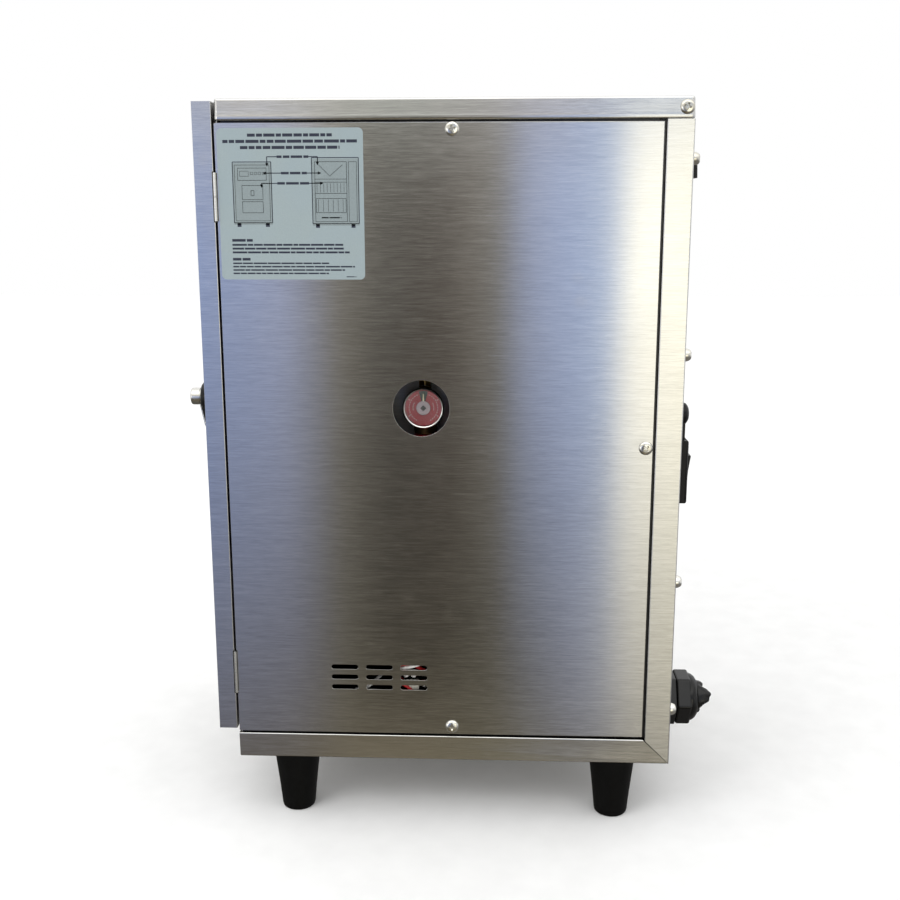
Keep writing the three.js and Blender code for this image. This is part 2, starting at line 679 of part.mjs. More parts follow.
function makeGauge() {
  const face = gauge.depth - gauge.dialGap;
  const caseProfile = [[0, 0], [gauge.radius - 2, 0], [gauge.radius, 3], [gauge.radius, gauge.depth],
    [gauge.radius - 2, gauge.depth], [gauge.radius - 2, face - 2], [0, face - 2]];
  const dialProfile = [[0, face - 2 + fit], [gauge.radius - 2 - fit, face - 2 + fit],
    [gauge.radius - 2 - fit, face - 0.6], [0, face - 0.6]];
  const gaugeCase = piece('gauge_case', turned('x', caseProfile, [0, 0, 0], 32), 'stainless');
  const dial = piece('gauge_dial', turned('x', dialProfile, [0, 0, 0], 32), 'dialPaint');
  const pointer = join(
    rod('x', 3.6, [face - 0.2, face + 1.2], [0, 0, 0], 16),
    prismX([[-1.6, -5], [1.6, -5], [0.5, 14], [-0.5, 14]], [face + 0.1, face + 0.9]),
  );
  const needle = piece('gauge_needle', pointer, 'needlePaint');
  return at(gaugeX - gauge.depth, tank.y, gaugeZ, gaugeCase, dial, needle);
}

// From the valve's top over the compartment's roof to a nozzle above the filters.
function makeSuppressionPipe() {
  const start = tankTopZ + fit + valve.length + fit;
  const top = linerTopZ + fit + pipeRadius;
  const points = [
    new THREE.Vector3(tankX, tank.y, start),
    new THREE.Vector3(tankX, tank.y, start + 60),
    new THREE.Vector3(tankX, tank.y, top - 40),
    new THREE.Vector3(tankX - 14, tank.y, top - 2),
    new THREE.Vector3(tankX - 40, tank.y, top),
    new THREE.Vector3(linerMiddleX + 60, tank.y, top),
    new THREE.Vector3(linerMiddleX, tank.y, top),
  ];
  const path = new THREE.CatmullRomCurve3(points, false, 'centripetal');
  return piece('suppression_pipe', tube(path, pipeRadius - 0.5, 26, 6), 'galvanised');
}

// ---------------------------------------------------------------- door

// What goes through both skins of the door: the chute, the flap's outlet, the lock and the hinges.
function doorCuts(through) {
  const chuteHalf = bucket.width / 2 + bucket.clearance;
  const flapHalf = flap.width / 2 - flap.overlap;
  const notches = Object.values(hingeRise).map((rise) => (
    hingeNotch(baseZ + rise).translate([0, -doorFrontY, -doorBottomZ])));
  return [
    box([-chuteHalf, chuteHalf], through,
      [chute.rise + bucket.clearance, chute.rise + bucket.radius + bucket.clearance]),
    box([-flapHalf, flapHalf], through, [flap.rise - flap.height + flap.overlap, flap.rise - flap.overlap]),
    rod('y', lock.radius + fit, through, [lockX, 0, lock.rise]),
    ...notches,
  ];
}

// Drawn about the middle of the door's bottom edge: y is 0 on its front face.
function makeDoorPanel() {
  const half = doorHalfWidth;
  const tray = cut(
    box([-half, half], [0, door.thickness], [0, doorHeight]),
    box([-half + sheet, half - sheet], [sheet, door.thickness + 1], [sheet, doorHeight - sheet]),
  );
  const through = [-1, sheet + 1];
  const keyHoles = keyCentres().map(([x, z]) => rod('y', key.radius + fit, through, [x, 0, z]));
  return piece('door_panel', cut(tray, ...doorCuts(through), ...keyHoles), 'stainless');
}

function makeDoorInnerPanel() {
  const half = doorHalfWidth - sheet - fit;
  const y = [door.thickness - sheet, door.thickness];
  const plate = box([-half, half], y, [sheet + fit, doorHeight - sheet - fit]);
  return piece('door_inner_panel', cut(plate, ...doorCuts([y[0] - 1, y[1] + 1])), 'stainless');
}

// A flat ring round the frying compartment's opening, between door and frame.
function makeGasket() {
  const y = [door.thickness + fit, door.thickness + door.gap + sheet];
  const z = [openingBottomZ - doorBottomZ, openingTopZ - doorBottomZ];
  const ring = cut(
    box([openingX[0] - gasketWidth, openingX[1] + gasketWidth], y, [z[0] - gasketWidth, z[1] + gasketWidth]),
    box(openingX, [y[0] - 1, y[1] + 1], z),
  );
  return piece('door_gasket', ring, 'greyRubber');
}

function keyCentres() {
  const z = control.rise + display.rise;
  return Array.from({ length: key.count }, (_, i) => [key.x + i * key.pitch, z]);
}

function makeControls() {
  const y = [-control.thickness - fit, -fit];
  const z = control.rise + display.rise;
  const window = (margin, span) => {
    const halfWide = display.width / 2 + margin;
    const halfHigh = display.height / 2 + margin;
    return box([display.x - halfWide, display.x + halfWide], span, [z - halfHigh, z + halfHigh]);
  };
  const panel = cut(
    box([-control.width / 2, control.width / 2], y, [control.rise, control.rise + control.height]),
    window(fit, [y[0] - 1, y[1] + 1]),
    ...keyCentres().map(([x, height]) => rod('y', key.radius + fit, [y[0] - 1, y[1] + 1], [x, 0, height])),
  );
  const glass = window(0, [y[0] - 0.6, -fit]);
  const keys = keyCentres().map(([x, height], i) => {
    const face = y[0] - key.stand;
    const cap = rod('y', key.radius, [face, face + key.height], [0, 0, 0]);
    const button = piece(`key_${i + 1}`, cap, 'blackRubber');
    button.position.set(x, 0, height);
    return button;
  });
  return [
    piece('control_panel', panel, 'controlFilm'),
    piece('display_window', glass, 'displayGlass'),
    ...keys,
  ];
}

// Built about the chute's hinge line: a face plate, a quarter-round bucket behind it and the knob.
function makeChute() {
  const halfPlate = chute.plate / 2;
  const face = piece('load_chute_face',
    box([-chute.width / 2, chute.width / 2], [-halfPlate, halfPlate], [0, chute.height]), 'stainless');

  const from = halfPlate + 0.3;
  const halfBucket = bucket.width / 2;
  const slope = Math.tan(bucket.angle);
  const arcStart = Math.acos(from / bucket.radius);
  const outline = [[from, bucket.start], [from, bucket.radius * Math.sin(arcStart)]];
  for (let i = 1; i <= 8; i += 1) {
    const angle = arcStart + ((bucket.angle - arcStart) * i) / 8;
    outline.push([bucket.radius * Math.cos(angle), bucket.radius * Math.sin(angle)]);
  }
  outline.push([bucket.start, bucket.start * slope]);
  const wedge = prismX(outline, [-halfBucket, halfBucket]);
  const lift = sheet / Math.cos(bucket.angle);
  const above = bucket.radius + 20;
  const room = prismX([[from - 1, bucket.start + lift], [bucket.start, bucket.start + lift],
    [bucket.radius, bucket.radius * slope + lift], [bucket.radius, above], [from - 1, above]],
  [-halfBucket + sheet, halfBucket - sheet]);
  const lips = [-1, 1].map((side) => box([side * halfBucket, side * (halfBucket - bucket.lip)],
    [from, from + sheet], [bucket.start, bucket.radius * 0.98]));
  const tub = piece('load_chute_bucket', join(cut(wedge, room), ...lips), 'stainless');

  return [face, tub, makeKnob(-halfPlate)];
}

// A round hub with a tapered wing hanging from it, and a cylindrical grip in front.
function makeKnob(faceY) {
  const back = faceY - 0.3;
  const front = faceY - knob.reach;
  const gripBack = front + knob.grip;
  const hub = turned('y', [[0, gripBack - 6], [knob.gripRadius + 1.5, gripBack - 6],
    [knob.hubRadius - 2, gripBack], [knob.hubRadius, gripBack + 5], [knob.hubRadius + 2, back], [0, back]],
  [0, 0, knob.rise], 24);
  const grip = turned('y', [[0, front], [knob.gripRadius - 1.5, front], [knob.gripRadius, front + 1.5],
    [knob.gripRadius, gripBack], [0, gripBack]], [0, 0, knob.rise], 24);
  const tip = knob.rise - knob.blade;
  const wing = prismX([[gripBack - 3, knob.rise - 8], [gripBack + 7, tip + 6], [gripBack + 12, tip],
    [back, tip - 4], [back, knob.rise]], [-8, 8]);
  return piece('load_knob', join(hub, grip, wing), 'stainless');
}

// Built about its top edge, hanging shut.
function makeFlap() {
  const half = flap.plate / 2;
  const plate = box([-flap.width / 2, flap.width / 2], [-half, half], [-flap.height, 0]);
  const pull = box([-28, 28], [-half - 8, -half + 0.5], [-flap.height + 6, -flap.height + 9]);
  return piece('dispense_flap', join(plate, pull), 'stainless');
}

// Built about its own axis and drawn unlocked, with the cam upright clear of the frame's edge.
function makeLock() {
  const camFront = linerFrontY - doorFrontY;
  const camBack = camFront + lockCam.thickness;
  const bezelFront = -lock.bezelDepth;
  const barrel = rod('y', lock.radius, [bezelFront, camBack], [0, 0, 0]);
  const bezel = rod('y', lock.bezel, [bezelFront, -fit], [0, 0, 0]);
  const cam = box([-lockCam.width / 2, lockCam.width / 2], [camFront, camBack], [0, lockCam.length]);
  const slot = box([-1, 1], [bezelFront - 1, bezelFront + 1.5], [-6, 6]);
  return piece('door_lock', cut(join(barrel, bezel, cam), slot), 'stainless');
}

// ---------------------------------------------------------------- hinges

const leafThickness = (door.gap - 3 * hinge.leafGap) / 2;
const frameLeafY = [frontY - hinge.leafGap - leafThickness, frontY - hinge.leafGap].map((y) => y - hingeY);
const doorLeafFront = doorBackY + hinge.leafGap - hingeY;
const doorLeafY = [doorLeafFront, doorLeafFront + leafThickness];

// A leaf drawn about the middle of its pin: one half of the barrel and a plate beside it.
function hingeLeaf(name, upperHalf, plateY) {
  const half = hinge.length / 2;
  const z = upperHalf ? [fit / 2, half] : [-half, -fit / 2];
  const barrel = cut(
    rod('z', hinge.barrel, z, [0, 0, 0], 16),
    rod('z', hinge.pin + 0.15, [z[0] - 1, z[1] + 1], [0, 0, 0], 12),
  );
  const reach = hinge.pin + 0.35;
  const plate = box([-hinge.plate, -reach], plateY, z);
  return piece(name, join(plate, barrel), 'galvanised');
}

function hingePin(name) {
  const half = hinge.length / 2;
  return piece(name, rod('z', hinge.pin, [-half, half], [0, 0, 0], 12), 'stainless');
}

// ---------------------------------------------------------------- back of the cabinet

function makeHood() {
  const z = [baseZ + hood.rise, baseZ + hood.rise + hood.height];
  const y = [backY + fit, backY + hood.reach];
  const innerHalf = hoodHalfWidth - sheet;
  const shell = cut(
    box([-hoodHalfWidth, hoodHalfWidth], y, z),
    box([-innerHalf, innerHalf], [y[0] - 1, y[1] - sheet], [z[0] - 1, z[1] - sheet]),
  );
  return piece('exhaust_hood', shell, 'stainless');
}

function makePowerSwitch() {
  const x = [switchX - powerSwitch.width / 2, switchX + powerSwitch.width / 2];
  const z = [baseZ + powerSwitch.rise, baseZ + powerSwitch.rise + powerSwitch.height];
  const y = [backY + fit, backY + fit + powerSwitch.reach];
  const buttonZ = baseZ + powerSwitch.rise + resetButton.rise;
  const block = box(x, y, z);
  const neck = box([switchX - 7, switchX + 7], [y[0], y[0] + 5], [z[1] - 1, buttonZ]);
  const dome = turned('y', [[0, y[0]], [resetButton.radius, y[0]], [resetButton.radius, y[0] + 5],
    [resetButton.radius - 3, y[1]], [0, y[1] + 1]], [switchX, 0, buttonZ], 20);
  const pocket = box([switchX - rocker.width / 2 - 1, switchX + rocker.width / 2 + 1],
    [y[0] + 2, y[1] + 1], [rockerZ - rocker.height / 2 - 2, rockerZ + rocker.height / 2 + 2]);
  return piece('power_switch_body', cut(join(block, neck, dome), pocket), 'blackPlastic');
}

// Built about its pivot: a paddle with one end in and the other out.
function makeRocker() {
  const half = rocker.height / 2;
  const outline = [[-0.8, -half], [2.6, -half], [3.4, 0], [5.6, half], [0.8, half], [-2.2, 0]];
  return piece('power_rocker', prismX(outline, [-rocker.width / 2, rocker.width / 2]), 'blackPlastic');
}

// Built about the cord's axis where it leaves the back panel.
function makeGland() {
  const neck = gland.bore + gland.wall;
  const seat = gland.flangeDepth;
  const bodyProfile = [[gland.bore, fit], [gland.flange, fit], [gland.flange, seat], [neck, seat],
    [neck, gland.thread], [gland.bore, gland.thread], [gland.bore, fit]];
  const sealGap = glandSeal.radius + fit;
  const nutProfile = [[neck + fit, seat + fit], [glandNut.radius, seat + fit],
    [glandNut.radius, glandNut.reach - 16], [glandNut.radius - 4, glandNut.reach - 6],
    [glandNut.radius - 10, glandNut.reach], [sealGap, glandNut.reach], [sealGap, gland.thread + fit],
    [neck + fit, gland.thread + fit], [neck + fit, seat + fit]];
  const sealBack = gland.thread + 1 + fit;
  const sealProfile = [[glandSeal.bore, sealBack], [glandSeal.radius, sealBack],
    [glandSeal.radius, glandNut.reach + 2], [glandSeal.radius - 3, glandSeal.reach],
    [glandSeal.bore, glandSeal.reach], [glandSeal.bore, sealBack]];
  const middle = [0, 0, 0];
  return at(glandX, backY, baseZ + gland.rise,
    piece('cord_gland_body', turned('y', bodyProfile, middle, 24), 'blackPlastic'),
    piece('cord_gland_nut', turned('y', nutProfile, middle, 24), 'blackPlastic'),
    piece('cord_seal', turned('y', sealProfile, middle, 20), 'blackRubber'));
}

// ---------------------------------------------------------------- assembly

const leftPanel = piece('side_panel_left', sidePanelShell(-1), 'stainless');
const filterX = [openingX[0] + airFilter.gap / 2, openingX[1] - airFilter.gap / 2];
const filterMiddleX = (filterX[0] + filterX[1]) / 2;
const latchZ = shelfZ + shelf.thickness + airFilter.height / 2;
const drainFrontY = potFrontY - fit - drain.pipe - drain.body;
const damperHinge = damperAxis();

const cabinet = new THREE.Group();
cabinet.add(
  makeBase(),
  makeBackPanel(),
  makeCover(),
  makeRightPanel(),
  leftPanel,
  makeFrontFrame(),
  ...makeFeet(),
  makeLiner(),
  makeShelf(),
  makePot(),
  makeElement(),
  makeBasketMotor(),
  makeDrainValve(),
  makeGreaseFilter(),
  makeAirFilter('air_filter_left', filterX[0], filterMiddleX - airFilter.gap / 2),
  makeAirFilter('air_filter_right', filterMiddleX + airFilter.gap / 2, filterX[1]),
  makeDamperFrame(),
  makeTank(),
  makeValve(),
  makeSuppressionPipe(),
  makeGauge(),
  makeHood(),
  makePowerSwitch(),
  makeGland(),
  at(linerMiddleX, shaftY, shaftZ, makeBasket(), makeShaft()),
  at(drain.x, drainFrontY, baseZ + drain.rise, makeDrainHandle()),
  at(filterMiddleX, linerFrontY + airFilter.setback - fit, latchZ, makeLatch()),
  at(linerMiddleX, damperHinge.y, damperHinge.z, makeDamperBlade()),
  at(linerMiddleX, blowerY, blowerZ, makeBlowerHousing(), makeBlowerWheel(), makeBlowerMotor()),
  at(switchX, backY + fit + rocker.pivot, rockerZ, makeRocker()),
);

for (const [place, rise] of Object.entries(hingeRise)) {
  cabinet.add(at(hingeX, hingeY, baseZ + rise,
    hingeLeaf(`hinge_frame_leaf_${place}`, false, frameLeafY),
    hingeLeaf(`hinge_door_leaf_${place}`, true, doorLeafY),
    hingePin(`hinge_pin_${place}`)));
}

const doorGroup = at(0, doorFrontY, doorBottomZ,
  makeDoorPanel(),
  makeDoorInnerPanel(),
  makeGasket(),
  ...makeControls(),
  at(0, chuteAxisY, chute.rise, ...makeChute()),
  at(0, flapAxisY, flap.rise, makeFlap()),
  at(lockX, 0, lock.rise, makeLock()));
cabinet.add(doorGroup);

// The origin is the middle of the whole footprint, so the cabinet moves back by half of what
// the knob reaches out beyond the gland.
cabinet.position.y = (frontReach - backReach) / 2;

export default cabinet;
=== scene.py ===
"""Looks of a ventless countertop fryer, laid out as an add-on and run as a script."""
import json
import math
import random
import sys

import bmesh
import bpy
from mathutils import Matrix, Vector
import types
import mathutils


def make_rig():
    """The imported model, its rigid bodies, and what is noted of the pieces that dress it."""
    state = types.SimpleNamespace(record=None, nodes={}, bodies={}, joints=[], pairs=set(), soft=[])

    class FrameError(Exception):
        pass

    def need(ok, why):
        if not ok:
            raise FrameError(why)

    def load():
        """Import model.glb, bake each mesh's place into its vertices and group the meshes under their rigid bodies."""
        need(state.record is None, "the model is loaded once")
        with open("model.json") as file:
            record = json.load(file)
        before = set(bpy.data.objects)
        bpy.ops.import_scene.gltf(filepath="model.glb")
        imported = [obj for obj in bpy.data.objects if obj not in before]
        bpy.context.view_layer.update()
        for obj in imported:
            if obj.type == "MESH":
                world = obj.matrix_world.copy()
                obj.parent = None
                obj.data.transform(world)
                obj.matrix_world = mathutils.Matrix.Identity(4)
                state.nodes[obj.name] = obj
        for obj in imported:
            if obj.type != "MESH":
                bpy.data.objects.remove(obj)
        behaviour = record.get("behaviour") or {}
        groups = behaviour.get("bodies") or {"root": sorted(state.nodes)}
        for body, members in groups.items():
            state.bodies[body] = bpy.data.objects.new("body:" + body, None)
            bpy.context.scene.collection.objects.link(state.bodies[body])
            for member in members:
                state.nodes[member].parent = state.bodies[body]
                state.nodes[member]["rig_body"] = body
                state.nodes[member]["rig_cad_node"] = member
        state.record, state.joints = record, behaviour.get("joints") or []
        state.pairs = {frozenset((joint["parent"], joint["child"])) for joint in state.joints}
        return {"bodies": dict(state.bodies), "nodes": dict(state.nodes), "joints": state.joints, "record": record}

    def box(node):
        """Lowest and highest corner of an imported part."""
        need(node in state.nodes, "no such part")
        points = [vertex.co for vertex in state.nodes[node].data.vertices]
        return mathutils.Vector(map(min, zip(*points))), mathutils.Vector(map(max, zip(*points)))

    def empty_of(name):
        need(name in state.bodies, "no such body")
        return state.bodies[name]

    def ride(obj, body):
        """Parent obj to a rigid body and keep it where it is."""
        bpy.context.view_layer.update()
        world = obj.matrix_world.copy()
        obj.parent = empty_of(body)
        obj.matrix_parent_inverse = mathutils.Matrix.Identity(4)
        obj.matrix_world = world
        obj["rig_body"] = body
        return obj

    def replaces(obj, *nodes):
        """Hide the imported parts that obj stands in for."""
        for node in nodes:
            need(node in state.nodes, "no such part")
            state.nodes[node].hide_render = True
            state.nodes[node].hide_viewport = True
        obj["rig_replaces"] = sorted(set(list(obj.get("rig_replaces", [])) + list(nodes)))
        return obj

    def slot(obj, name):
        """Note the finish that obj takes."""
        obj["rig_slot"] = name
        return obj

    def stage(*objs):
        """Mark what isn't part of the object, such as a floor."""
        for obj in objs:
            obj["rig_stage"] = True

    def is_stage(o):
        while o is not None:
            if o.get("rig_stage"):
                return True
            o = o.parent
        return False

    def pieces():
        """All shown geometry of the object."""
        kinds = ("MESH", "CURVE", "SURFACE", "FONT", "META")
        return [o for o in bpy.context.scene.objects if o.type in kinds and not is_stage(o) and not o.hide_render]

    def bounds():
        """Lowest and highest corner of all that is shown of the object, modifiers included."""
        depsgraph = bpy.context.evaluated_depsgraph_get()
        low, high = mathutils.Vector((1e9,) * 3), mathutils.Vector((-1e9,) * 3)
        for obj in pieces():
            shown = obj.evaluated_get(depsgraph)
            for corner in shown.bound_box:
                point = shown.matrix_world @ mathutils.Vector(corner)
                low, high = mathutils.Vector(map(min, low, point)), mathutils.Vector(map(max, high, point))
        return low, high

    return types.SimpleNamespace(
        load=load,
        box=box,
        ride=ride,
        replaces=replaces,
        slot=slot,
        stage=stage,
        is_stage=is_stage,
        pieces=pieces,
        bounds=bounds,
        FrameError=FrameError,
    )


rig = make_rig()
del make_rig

bl_info = {"name": "Countertop Fryer", "version": (1, 0, 0), "blender": (4, 5, 0),
    "location": "3D View > Sidebar > Fryer",
    "description": "Builds the visible pieces of a countertop fryer round its packed frame",
    "category": "Object"}

MM = 0.001
TAU = math.tau
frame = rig.load()
CAD_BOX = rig.bounds()


def span_mm(node):
    """A node's lowest and highest corners in millimetres."""
    low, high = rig.box(node)
    return low / MM, high / MM


def middle_mm(node):
    low, high = span_mm(node)
    return (low + high) / 2


COVER_LOW, COVER_HIGH = span_mm("top_cover")
BASE_LOW, BASE_HIGH = span_mm("chassis_base")
SIDE_FACE = span_mm("side_panel_right")[1].x
DOOR_LOW, DOOR_HIGH = span_mm("door_panel")
BACK_FACE = COVER_HIGH.y


# ---- sizes and colours


def length(name, description, default, low, high):
    return bpy.props.FloatProperty(name=name, description=description, default=default, min=low,
        max=high, unit="LENGTH", precision=5)


def tint(name, description, default):
    return bpy.props.FloatVectorProperty(name=name, description=description, default=default,
        size=3, min=0.0, max=1.0, subtype="COLOR")


class FryerSheetSettings(bpy.types.PropertyGroup):
    """Bends and fasteners of the folded sheet."""

    bend: length("Bend radius", "Outside radius of the folds", 0.0020, 0.0004, 0.004)
    edge: length("Edge break", "Softening of cut edges", 0.00035, 0.0001, 0.0006)
    screw_radius: length("Screw head radius", "Radius of the pan-head screws", 0.0066, 0.003, 0.008)
    groove: length("Panel groove", "Gap round the side panels", 0.0020, 0.0005, 0.003)


class FryerFinishSettings(bpy.types.PropertyGroup):
    """Colours that a user would change."""

    steel: tint("Steel", "Colour of the brushed steel", (0.62, 0.615, 0.60))
    enamel: tint("Cylinder enamel", "Colour of the suppression cylinder", (0.50, 0.012, 0.010))
    label_film: tint("Label film", "Colour of the care sticker", (0.275, 0.33, 0.34))
    label_ink: tint("Label ink", "Colour of the printing on the care sticker",
        (0.012, 0.016, 0.035))


class FryerWireSettings(bpy.types.PropertyGroup):
    """Wire and tube sizes."""

    basket_wire: length("Basket wire", "Radius of the basket's mesh wire", 0.00075, 0.0003, 0.0015)
    basket_pitch: length("Basket pitch", "Distance between mesh wires", 0.008, 0.004, 0.016)
    loom_wire: length("Loom wire", "Radius of the insulated wires", 0.0017, 0.0005, 0.003)
    seed: bpy.props.IntProperty(name="Seed",
        description="Fixes how screws are turned and how words fall", default=7, min=0,
        subtype="UNSIGNED")


def sheet_settings():
    return bpy.context.scene.fryer_sheet


def finish_settings():
    return bpy.context.scene.fryer_finish


def wire_settings():
    return bpy.context.scene.fryer_wire


# ---- meshes, in millimetres

TURNS = {  # where a lathe's axis points, and the two directions it turns through
    "x": (Vector((1, 0, 0)), Vector((0, 1, 0)), Vector((0, 0, 1))),
    "y": (Vector((0, 1, 0)), Vector((0, 0, 1)), Vector((1, 0, 0))),
    "z": (Vector((0, 0, 1)), Vector((1, 0, 0)), Vector((0, 1, 0))),
}


class Shape:
    """A mesh in the making. Every method adds one closed solid."""

    def __init__(self):
        self.bm = bmesh.new()

    def _close(self, verts, faces, turn, finish):
        if turn is not None:
            bmesh.ops.transform(self.bm, matrix=turn, verts=verts)
        bmesh.ops.recalc_face_normals(self.bm, faces=faces)
        for face in faces:
            face.material_index = finish
        return faces

    def rings(self, rings, loop=False, turn=None, finish=0):
        """Skins rings of points; a ring of one point is a pole; open ends are capped."""
        made = [[self.bm.verts.new(p) for p in ring] for ring in rings]
        verts = [v for ring in made for v in ring]
        faces = []
        pairs = list(zip(made, made[1:] + ([made[0]] if loop else [])))
        for a, b in pairs:
            count = max(len(a), len(b))
            for i in range(count):
                j = (i + 1) % count
                if len(a) == 1:
                    corners = (a[0], b[j], b[i])
                elif len(b) == 1:
                    corners = (a[i], a[j], b[0])
                else:
                    corners = (a[i], a[j], b[j], b[i])
                faces.append(self.bm.faces.new(corners))
        if not loop:
            for ring in (made[0], made[-1]):
                if len(ring) > 2:
                    faces.append(self.bm.faces.new(ring))
        return self._close(verts, faces, turn, finish)

    def lathe(self, profile, axis, centre, steps=48, loop=False, turn=None, finish=0, base=0.0):
        """Turns (radius, height above the base) points about an axis through a centre."""
        along, u, v = TURNS[axis]
        centre = Vector(centre)
        rings = []
        for radius, rise in profile:
            height = base + rise
            if radius < 1e-6:
                rings.append([centre + along * height])
                continue
            rings.append([
                centre + along * height
                + (u * math.cos(TAU * i / steps) + v * math.sin(TAU * i / steps)) * radius
                for i in range(steps)
            ])
        return self.rings(rings, loop, turn, finish)

    def tube(self, points, radius, sides=12, loop=False, finish=0):
        """Sweeps a circle along points; radius may be one number or one per point."""
        points = [Vector(p) for p in points]
        count = len(points)
        radii = radius if isinstance(radius, (list, tuple)) else [radius] * count
        normal = None
        rings = []
        for i, point in enumerate(points):
            before = points[i - 1] if loop or i else point
            after = points[(i + 1) % count] if loop or i < count - 1 else point
            tangent = (after - before).normalized()
            if normal is None:
                normal = tangent.orthogonal().normalized()
            normal = (normal - tangent * normal.dot(tangent)).normalized()
            side = tangent.cross(normal)
            rings.append([
                point + (normal * math.cos(TAU * k / sides) + side * math.sin(TAU * k / sides))
                * radii[i] for k in range(sides)
            ])
        return self.rings(rings, loop, None, finish)

    def prism(self, outline, axis, low, high, bevel=0.0, segments=2, turn=None, finish=0):
        """Pushes a flat outline along an axis; its corners are given in the turning plane."""
        along, u, v = TURNS[axis]
        rings = [[along * h + u * a + v * b for a, b in outline] for h in (low, high)]
        faces = self.rings(rings, False, None, finish)
        if bevel:
            edges = list({e for f in faces for e in f.edges})
            faces = self.soften(edges, bevel, segments, finish)
        if turn is not None:
            verts = list({v for f in faces for v in f.verts})
            bmesh.ops.transform(self.bm, matrix=turn, verts=verts)
        return faces

    def soften(self, edges, width, segments, finish=0):
        """Bevels edges and returns every face of the solid that they belong to."""
        seed = edges[0].link_faces[0]
        made = bmesh.ops.bevel(self.bm, geom=edges, offset=width, segments=segments, profile=0.5,
            affect="EDGES", clamp_overlap=True)
        first = made["faces"][0] if made["faces"] else seed
        found, queue = {first}, [first]
        while queue:
            for edge in queue.pop().edges:
                for face in edge.link_faces:
                    if face not in found:
                        found.add(face)
                        queue.append(face)
        for face in found:
            face.material_index = finish
        return list(found)

    def box(self, low, high, bevel=0.0, segments=2, turn=None, finish=0):
        """A block between two corners, with softened edges."""
        (x0, y0, z0), (x1, y1, z1) = low, high
        corners = ((x0, y0), (x1, y0), (x1, y1), (x0, y1))
        return self.prism(corners, "z", z0, z1, bevel, segments, turn, finish)

    def piece(self, name, finishes, slot, replaces=(), smooth=38, body="cabinet"):
        """Turns the shape into an object that rides on a body."""
        bmesh.ops.scale(self.bm, vec=(MM, MM, MM), verts=self.bm.verts)
        mesh = bpy.data.meshes.new(name)
        self.bm.to_mesh(mesh)
        self.bm.free()
        return settle(name, mesh, finishes, body, slot, replaces, smooth)


def placed(name, data):
    """An object in the scene that holds the data."""
    item = bpy.data.objects.new(name, data)
    bpy.context.scene.collection.objects.link(item)
    return item


def evaluated(item):
    """The item's mesh with its modifiers applied."""
    graph = bpy.context.evaluated_depsgraph_get()
    return bpy.data.meshes.new_from_object(item.evaluated_get(graph), depsgraph=graph)


def settle(name, mesh, finishes, body, slot=None, replaces=(), smooth=38):
    """Gives a mesh its finishes, its smoothing and its body."""
    if not isinstance(finishes, (list, tuple)):
        finishes = [finishes]
    for index, name_of_finish in enumerate(finishes):
        if index == len(mesh.materials):
            mesh.materials.append(None)
        mesh.materials[index] = finish(name_of_finish)
    mesh.shade_smooth()
    mesh.set_sharp_from_angle(angle=math.radians(smooth))
    item = placed(name, mesh)
    flatten = item.modifiers.new("Flat Faces", "WEIGHTED_NORMAL")
    flatten.keep_sharp, flatten.weight = True, 100
    item.data = evaluated(item)
    item.data.name = name
    item.modifiers.clear()
    bpy.data.meshes.remove(mesh)
    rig.ride(item, body)
    if slot:
        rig.slot(item, slot)
    if replaces:
        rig.replaces(item, *replaces)
    return item


def arc(centre, radius, start, end, steps):
    """Points on a flat arc, angles in degrees."""
    return [
        (centre[0] + radius * math.cos(math.radians(start + (end - start) * i / steps)),
         centre[1] + radius * math.sin(math.radians(start + (end - start) * i / steps)))
        for i in range(steps + 1)
    ]


def hexagon(u, v, radius, turn=0.0):
    """Six corners round a centre, in the order of a turning plane."""
    return [(u + radius * math.cos(TAU * i / 6 + turn), v + radius * math.sin(TAU * i / 6 + turn))
            for i in range(6)]


def upright_hexagon(x, z, radius, turn=0.0):
    """Six corners for a prism along y."""
    return [(b, a) for a, b in hexagon(x, z, radius, turn)]


def rounded(low, high, radius, steps=4):
    """The outline of a rectangle with round corners, anticlockwise."""
    (x0, y0), (x1, y1) = low, high
    r = radius
    return (arc((x1 - r, y0 + r), r, -90, 0, steps) + arc((x1 - r, y1 - r), r, 0, 90, steps)
            + arc((x0 + r, y1 - r), r, 90, 180, steps) + arc((x0 + r, y0 + r), r, 180, 270, steps))


def flowing(points, steps=6):
    """A smooth line through points."""
    points = [Vector(p) for p in points]
    ends = [points[0] * 2 - points[1]] + points + [points[-1] * 2 - points[-2]]
    line = []
    for a, b, c, d in zip(ends, ends[1:], ends[2:], ends[3:]):
        for i in range(steps):
            t = i / steps
            line.append(0.5 * ((2 * b) + (c - a) * t + (2 * a - 5 * b + 4 * c - d) * t * t
                               + (3 * b - a - 3 * c + d) * t ** 3))
    return line + [points[-1]]


def bend_path(points, radius, steps=5):
    """A path of straight runs with round corners of one radius."""
    points = [Vector(p) for p in points]
    line = [points[0]]
    for before, corner, after in zip(points, points[1:], points[2:]):
        into, out = (corner - before), (after - corner)
        reach = min(radius, into.length / 2, out.length / 2)
        start = corner - into.normalized() * reach
        end = corner + out.normalized() * reach
        for i in range(steps + 1):
            t = i / steps
            line.append(start * (1 - t) ** 2 + corner * 2 * t * (1 - t) + end * t * t)
    return line + [points[-1]]


